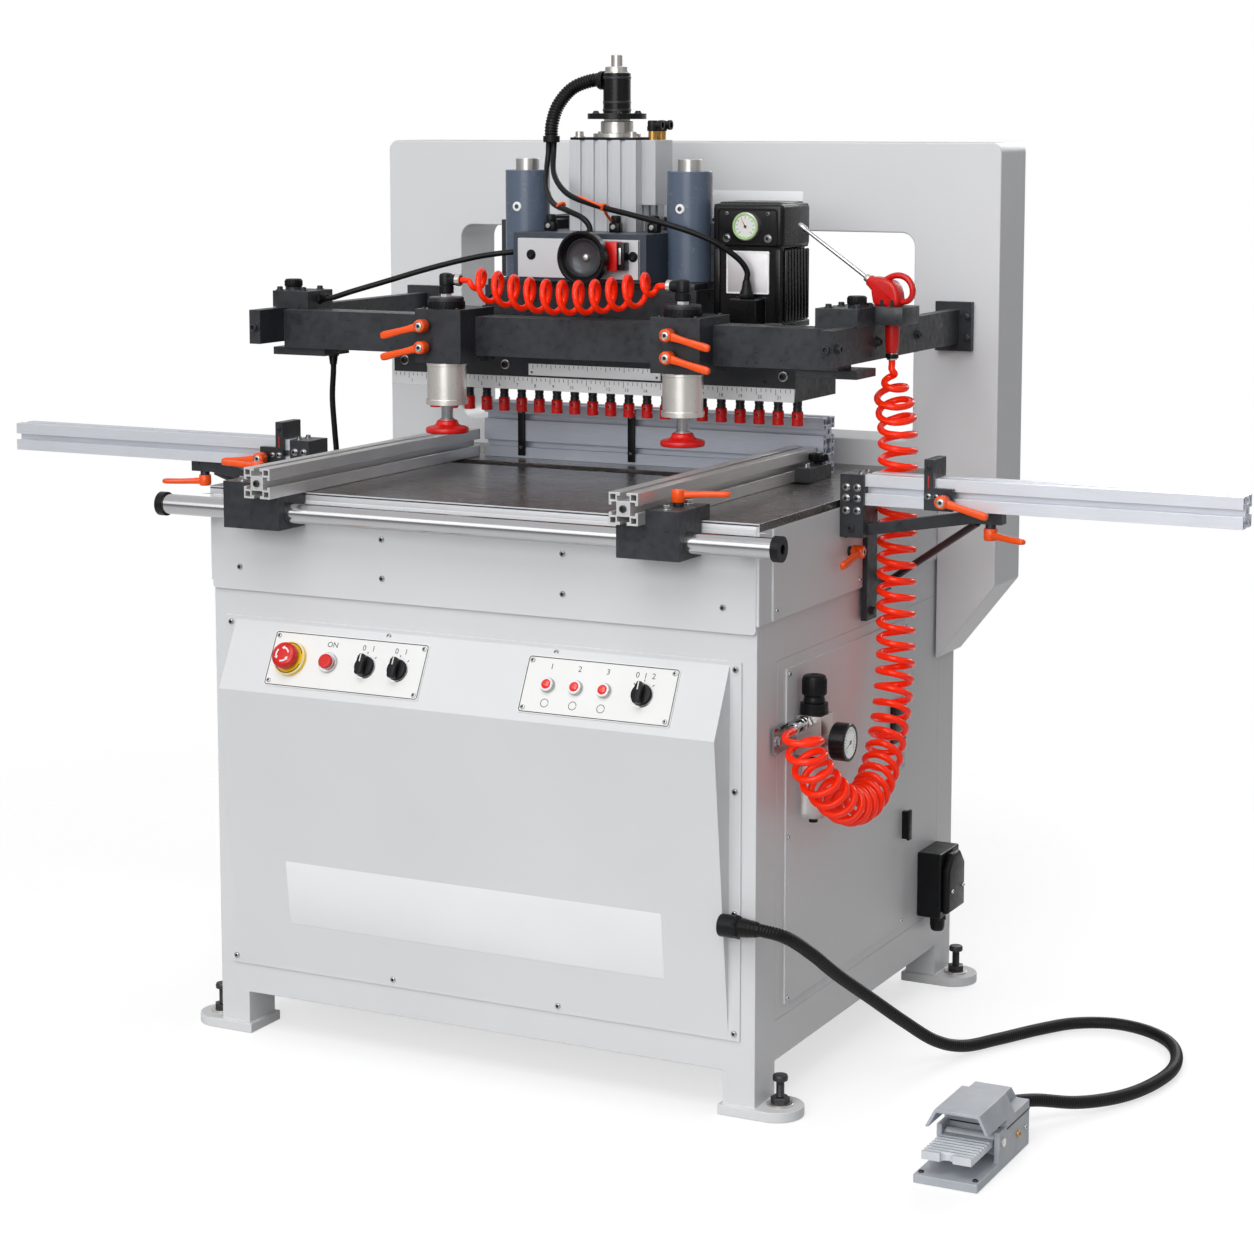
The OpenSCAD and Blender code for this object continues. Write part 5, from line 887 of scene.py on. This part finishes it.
# Cable entries on the frame: tapered strain reliefs, each with a hexagon nut at its root, and the conduit's ends
s = Shape()
for p, axis, r, length, tip in (
        ((440, -420, 285), RIGHT, 15, 30, 10.6), ((783, -285, 36), BACK, 14, 24, 10.6),
        ((30, -80, 1215), UP, 8, 16, 5.4), ((-433, -116, 1116), (0.94, 0.06, 0.1), 8, 14, 5.6),
        ((-410, -116, 1028), DOWN, 8, 16, 5.6), ((-410, -110, 848), UP, 8, 14, 5.6),
        ((-115, -20, 1192), LEFT, 8, 14, 5.6)):
    n = stand(p, axis)
    s.prism(circle(r * 1.15, 6), -4, 2, BLACK, n, 0.5)
    root = r * 0.94
    ribs = [(root, 2)]
    for k in range(5):
        z = 2 + (length - 2) * k / 5
        w = root + (tip - root) * k / 5
        ribs += [(w, z + length * 0.08), (w - 0.7, z + length * 0.1), (w - 0.7, z + length * 0.15)]
    s.lathe(ribs + [(tip, length - 1), (tip - 0.6, length)], RUBBER, n, 28)
s.lathe([(14.5, 0), (14.5, 7), (13.6, 9), (11.2, 12)], BLACK, to_left(-21.5, 70, 1458))
s.lathe([(13.2, -6), (13.2, 3), (12.4, 4), (0, 4.2)], BLACK, stand((-98, 36, 1366), DOWN))
s.piece("cable_boots", "frame", slot="black_rubber")

# Air cylinder: head bolts, push-in elbows on the valve and rings on the adjuster
AIR_Y = 70
s = Shape()
m = to_top(0, AIR_Y, 0)
each(s.cap_bolt, UP, (-46, 46), (32, 108), 1370, 6.4, 9, TURNED)
for y in (55, 85):
    s.lathe([(9, 0), (9, 6), (8.2, 7), (8.2, 14), (7, 16), (0, 16.2)], BLACK, to_top(70, y, 1380), 28)
    # The elbow's open bore is painted shade
    s.lathe([(6.4, 0), (6.4, 12), (7.6, 12.6), (7.6, 17), (4.6, 17)], [BLACK] * 3 + [RECESS_SHADE], to_right(70, y, 1389), 24)
for z, r in ((1412, 22.3), (1424, 22.0), (1462, 22.3)):
    s.lathe([(21.4, z - 2.2), (r, z - 1.5), (r, z + 1.5), (21.4, z + 2.2)], STEEL, m, 40)
for x, y in circle(38, 6):
    s.cap_bolt(to_top(x, AIR_Y + y, 1407), 3.4, 4)
s.lathe([(20, 1468), (20, 1470), (18.6, 1471), (18.2, 1478.2), (17.2, 1479), (14.2, 1479)], TURNED, m, 40)
s.box((-57, 21, 1365.6), (57, 119, 1370), BLACK, 0.8)
s.lathe([(24.2, 1375.6), (25.4, 1376.8), (25.4, 1393.6), (24, 1395), (20, 1395)], TURNED, m, 48)
s.piece("cylinder_fittings", "frame", slot="dark_steel")

# Blow gun: handle, nozzle, body and lever
GUN = (512, -50)
s = Shape()
n = to_top(*GUN, 0)
s.lathe([(5.2, 1050), (7.4, 1050), (7.8, 1052), (7.8, 1058), (7.0, 1059.4)], TURNED, n, 28)
s.lathe([(7.0, 1059.4), (8.6, 1061), (9.6, 1068), (10.4, 1080), (10.6, 1096), (10.6, 1130)], RED, n, 36)
s.lathe([(8.6, 1052), (9.6, 1053), (9.6, 1058), (8.6, 1059)], BLACK, n, 28)
tail, tip = Vector((*GUN, 1140)), Vector((352, -26, 1244))
n = stand(tail, (tip - tail).normalized())
reach = (tip - tail).length
s.lathe([(11, 26), (10.4, 34), (9, 42), (8.4, 46), (7.4, 47), (5, 47.4)], RED, n)
s.lathe([(6, 47), (6, 53), (5.2, 54), (3, 54.6)], TURNED, n, 24)
s.lathe([(3, 54.6), (3, reach - 16), (3.9, reach - 15), (3.9, reach - 3), (2.6, reach - 0.6), (1.4, reach - 0.4)],
        CHROME, n, 24)
# Painted shade in the nozzle's bore
s.lathe([(1.4, reach - 0.4), (1.2, reach - 5), (0, reach - 5)], RECESS_SHADE, n, 16)
m = axes((0.989, -0.148, 0), UP, (-0.148, -0.989, 0), (*GUN, 1128.4))
s.prism([(-24, 0), (-28, 5), (-30, 14), (-31, 22), (-36, 27), (-40, 32), (-35, 41), (-29, 42), (-20, 41.5), (-8, 40),
         (3, 36), (10, 29), (13.6, 20), (15, 10), (15, 3), (13, 0)], -12.5, 12.5, RED, m, 5, 4)
# Two small marks of painted shade on the body's side
for x in (-11, 6):
    s.prism([(x - 3, -0.2), (x + 3, -0.2), (x + 3, 7), (x + 1.6, 9.4), (x - 1.6, 9.4), (x - 3, 7)], 11.8, 12.8, RECESS_SHADE, m)
lever = smooth_route([(-12, 38, 0), (0, 43.5, 0), (13, 44.5, 0), (25, 39.5, 0), (32, 29, 0), (32.5, 17, 0),
                      (26, 8.5, 0), (14, 6, 0)], 5)
s.tube(lever, [4.8 - 1.2 * abs(k / (len(lever) - 1) - 0.4) for k in range(len(lever))], RED, 14, m)
s.hex_bolt(to_top(466, -50, 1128.4), 10, 12, CHROME)
s.piece("blow_gun", "frame", ("air_gun",), "red_plastic", smooth=50)

# Regulator: ribbed knob, gauge and fittings
REG_X, REG_Y, REG_Z = 476.5, -244.5, 521
n = to_top(REG_X, REG_Y, 0)
s = Shape()
s.lathe([(5, 563), (5, 574.6), (15.2, 574.6), (15.6, 579), (14.6, 581), (14.6, 584), (17.2, 586), (17.2, 609),
         (16, 612.6), (13, 614), (6, 614.2), (5, 613.4), (0, 613.4)], BLACK, n, 40)
for t in turns(n, 30):
    s.box((-0.75, 16.9, 587), (0.75, 18, 608), BLACK, 0.3, t)
s.piece("regulator_grip", "regulator_knob", ("regulator_knob",), "black_plastic")

s = Shape()
s.lathe([(20, 558.4), (20.6, 559.2), (20.6, 565), (18, 567.4), (16.4, 574)], BLACK, n, 40)
s.lathe([(19.2, 486), (19.6, 487), (19.6, 499), (18.4, 500)], BLACK, n, 40)
for t in turns(n, 10):
    s.box((-1.6, 18.4, 486.5), (1.6, 20.4, 499.2), BLACK, 0.5, t)
s.lathe([(6.6, 400), (6.6, 408), (9, 409.4)], BLACK, n, 24)
gauge = to_right(531, REG_Y, REG_Z)
m = turned(gauge, radians(90))
s.lathe([(0, -22), (26, -22), (27.4, -20), (27.4, 0.6), (26.2, 2), (23, 2), (22.2, 0.4)], GLOSS, m, 48)
s.dial(m, 22.2, 0.4, 21, (14.4, 16.8, 20.2), ([(-5, -1.1), (-5, 1.1), (16.4, 0.3), (16.4, -0.3)], INK, 205, 2.8),
       (12.6, 14, -45, 20, 16))
s.lathe([(22.8, 1.6), (15, 2.2), (0, 2.4)], GLASS, m, 40)
s.lathe([(8.2, -34), (8.2, -29), (10, -28.4), (10, -23.4), (8, -22)], CHROME, gauge, 6)
n = to_front(473, -267, 548)
s.prism(circle(11.6, 6), 2, 12, CHROME, n, 0.6)
s.lathe([(10.4, 14), (10.4, 20), (9.4, 21), (9.4, 30), (10.2, 31), (10.2, 42), (9, 45.4), (6, 46)], CHROME, n)
each(s.hex_bolt, RIGHT, 459, (-336, -209), 533, 11, 7, CHROME)
n = to_back(REG_X, -222, REG_Z)
s.lathe([(9.6, 0), (9.6, 7), (8.4, 8), (8.4, 13), (6.2, 13)], CHROME, n, 28)
# Painted shade in the fitting's bore
s.lathe([(6.2, 13), (5.4, 2), (0, 2)], RECESS_SHADE, n, 24)
s.piece("regulator_fittings", "frame", slot="bright_steel")

# Power inlet: chamfered lid with two screws, gland; latch bar and plate on the service cover
INLET_Y = 276.5
s = Shape()
s.prism([(-47, -16), (-47, 16), (-25, 36), (47, 36), (47, -36), (-25, -36)], -0.4, 13, BLACK,
        to_right(492, INLET_Y, 190), 5, 3)
each(s.screw, RIGHT, 505, (INLET_Y - 24, INLET_Y + 24), 178, 3.4, 3)
n = to_top(472, INLET_Y, 111)
s.prism(circle(14.4, 6), 12, 22, BLACK, n, 0.8)
s.lathe([(9, -6), (10.6, -4), (11.6, 0), (11.6, 4)], RUBBER, n, 28)
# Painted shade in the gland's bore
s.lathe([(5, -6), (9, -6)], RECESS_SHADE, n, 28)
s.box((463, 156.5, 278), (468.4, 169.5, 326), BLACK, 1.8)
s.box((454.6, 104, 440), (460, 160, 506), BLACK, 1.6)
s.box((459.4, 110, 446), (461, 154, 500), GLOSS, 0.6)
s.piece("inlet_fittings_detail", "frame", slot="black_plastic")

# Foot pedal: seam, screws and pivot caps
s = Shape()
# The seam is a thin band of painted shade round the hood
s.box((737.4, -397.6, 50.2), (828.6, -304.4, 52.2), RECESS_SHADE, 0.3)
s.screw(to_right(828, -352, 30), 5, 3, BRASS)
s.screw(to_right(828, -322, 30), 3.4, 2.2)
s.screw(to_left(738, -352, 30), 5, 3, BRASS)
each(s.screw, UP, (745, 821), -500, 12, 4, 2.4, STEEL)
for m in (to_left(738, -413, 38), to_right(828, -413, 38)):
    s.lathe([(6.6, -0.5), (6.6, 1.6), (5.4, 2.8), (0, 3)], TURNED, m, 28)
s.piece("pedal_fittings", "frame", slot="pedal_grey")

# Fence, rail, stop and hold-down hardware
STOP_X, STOP_Y = {"left": -514, "right": 597}, -118.3
for side, away in SIDES:
    x = FENCE_X[side]
    bracket_x, keeper_x = x + away * 48.5, x + away * 35.5
    s = Shape()
    each(s.cap_bolt, UP, bracket_x, (-386, -454), 868.3, 5.4, 7, CHROME)
    s.cap_bolt(to_top(keeper_x, 58, 870.3), 4.6, 6, CHROME)
    n = to_top(keeper_x, 104, 870.3)
    s.lathe([(6, 0), (6, 3), (11, 4), (13, 6)], BLACK, n, 36)
    for a, b in circle(10.4, 7):
        s.lathe([(0, 5.6), (5, 5.8), (5.8, 7), (5.8, 14.6), (4.6, 16), (0, 16.4)], BLACK,
                n @ Matrix.Translation((a, b, 0)), 20)
    s.lathe([(13, 6), (13, 15.4), (10, 17), (0, 17.4)], BLACK, n, 36)
    s.lathe([(3, 17), (3, 18.4), (0, 18.6)], TURNED, n, 20)
    n = to_front(x, -490, 870.8)
    s.lathe([(5.2, 0), (5.2, 2.4), (4.4, 3.2), (2.6, 3.2)], STEEL, n, 24)
    # Painted shade in the bolt's socket
    s.lathe([(2.6, 3.2), (2.5, 1.2), (0, 1.2)], RECESS_SHADE, n, 6)
    s.piece(f"{side}_fence_bolts", f"{side}_fence", slot="dark_steel")

    s = Shape()
    x = STOP_X[side]
    s.cap_bolt(to_front(x, STOP_Y, 904), 3.2, 4)
    s.cap_bolt(to_front(x, STOP_Y, 862), 3.6, 4.4, CHROME)
    s.cap_bolt(to_front(x + away * 12, STOP_Y, 862), 3.2, 4, CHROME)
    s.box((x - 0.7, -118.6, 874), (x + 0.7, -118.1, 892), RED, 0.1)
    s.piece(f"{side}_stop_bolts", f"{side}_stop", slot="dark_steel")

ARM_X, BRACKET_X = 483, 477
s = Shape()
for a in BOTH:
    outward, arm, bracket = (a, 0, 0), a * ARM_X, a * BRACKET_X
    each(s.cap_bolt, FRONT, (bracket - 8 * a, bracket + 9 * a), -115, (834, 852, 868), 4.4, 5, CHROME)
    s.cap_bolt(to_front(bracket, -115, 808), 4.4, 5)
    each(s.cap_bolt, UP, a * 487, (-100, -74), 887, 4, 5, CHROME)
    each(s.hex_bolt, outward, a * 466, -4, (668, 806), 11, 6, STEEL)
    each(s.cap_bolt, UP, (arm - 34 * a, arm + 10 * a), (-140, -92), 1129, 4.6, 6)
    n = to_top(arm, -116, 0)
    s.lathe([(9, 1129), (9, 1132), (13, 1133), (13.6, 1134.4), (13.6, 1144), (12.2, 1146), (0, 1146.4)], BLACK, n, 36)
    for t in turns(n, 18):
        s.box((-0.9, 13, 1135), (0.9, 14.4, 1143.4), BLACK, 0.3, t)
    each(s.hex_bolt, FRONT, (arm - 24, arm + 24), 280, (1060, 1093), 9, 6, STEEL)
    each(s.cap_bolt, outward, a * 493, (-210, -60, 100), 1076, 6, 6)
    s.cap_bolt(to_front(arm, -227, 1076), 6, 6)
for x in (-205, -4):
    s.box((x - 6, 125.6, 852), (x + 6, 131, 936), BLACK, 0.8)
    each(s.screw, FRONT, x, 125.6, (866, 924), 2.6, 1.6)
s.box((433.5, -84.6, 1102.8), (541, -16, 1128.4), IRON, 1.4)
# A thin strip of painted shade along the gap under the table's front edge
s.box((-455, -392.6, 844.2), (455, -391.4, 845.8), RECESS_SHADE, 0.2)
s.box((-452, -393.2, 829), (452, -391.4, 843.6), SCALE, 0.4)
s.piece("frame_bolts", "frame", slot="dark_steel")


# Studio: a pale floor that fades out, a white surround and soft lights
def seen(tree, low, high, mirror=1.0):
    """A strength that is high where the camera, a mirror or a clear cover sees the surface, and low where it only
    gives light. mirror dims it for a mirror."""
    ray = node(tree, "LightPath").outputs
    most = maths(tree, "MULTIPLY", ray["Is Glossy Ray"], mirror)
    for kind in ("Is Transmission Ray", "Is Camera Ray"):
        most = maths(tree, "MAXIMUM", most, ray[kind])
    return ramp(tree, most, low, high)


floor_mesh = bpy.data.meshes.new("floor")
floor_bm = bmesh.new()
bmesh.ops.create_circle(floor_bm, cap_ends=True, segments=96, radius=6)
floor_bm.to_mesh(floor_mesh)
floor_bm.free()
floor = bpy.data.objects.new("floor", floor_mesh)
floor.location.z = -0.0004
scene.collection.objects.link(floor)
floor_mat = material("studio_floor", (0.40, 0.40, 0.40), 0.7, (0.003, 0.6))
floor_mesh.materials.append(floor_mat)
tree = floor_mat.node_tree
place = node(tree, "TexCoord").outputs["Object"]
distance = node(tree, "VectorMath", {0: place}, operation="LENGTH").outputs["Value"]
feed(tree, tree.nodes["Principled BSDF"], {
    "Emission Color": (1, 1, 1, 1), "Emission Strength": seen(tree, 0.0, 0.65),
    "Alpha": ramp(tree, distance, 1, 0, 1.1, 2.3, interpolation_type="SMOOTHSTEP")})

# A mirror sees a darker band round the horizon, as it would in a room
world = bpy.data.worlds.new("studio")
scene.world = world
world.use_nodes = True
tree = world.node_tree
up = node(tree, "SeparateXYZ", {0: node(tree, "TexCoord").outputs["Generated"]}).outputs["Z"]
band = ramp(tree, maths(tree, "ABSOLUTE", up), 0.1, 0.9, 0.04, 0.45, interpolation_type="SMOOTHSTEP")
feed(tree, tree.nodes["Background"], {"Color": (1, 1, 1, 1), "Strength": seen(tree, 0.25, 1.0, band)})


def area(name, place, aim, size, watts):
    light = bpy.data.objects.new(name, bpy.data.lights.new(name, "AREA"))
    light.data.shape = "RECTANGLE"
    light.data.size, light.data.size_y = size
    light.data.energy = watts
    light.location = place
    light.rotation_euler = (Vector(aim) - Vector(place)).to_track_quat("-Z", "Y").to_euler()
    scene.collection.objects.link(light)


area("key", (-3.4, -8.4, 4.6), (0, 0, 0.75), (6.0, 4.8), 140)
area("fill", (1.6, -9.6, 3.4), (0, 0, 0.8), (6.0, 4.4), 380)
area("top", (0.4, -3.2, 4.6), (0.2, 0, 0.9), (3.2, 2.8), 110)
area("side", (4.0, -1.4, 2.4), (0.2, 0, 0.8), (1.4, 2.2), 3)
area("back", (0.6, 4.2, 2.6), (0, 0.3, 0.8), (2.4, 2.0), 70)

scene.view_settings.view_transform = "Standard"
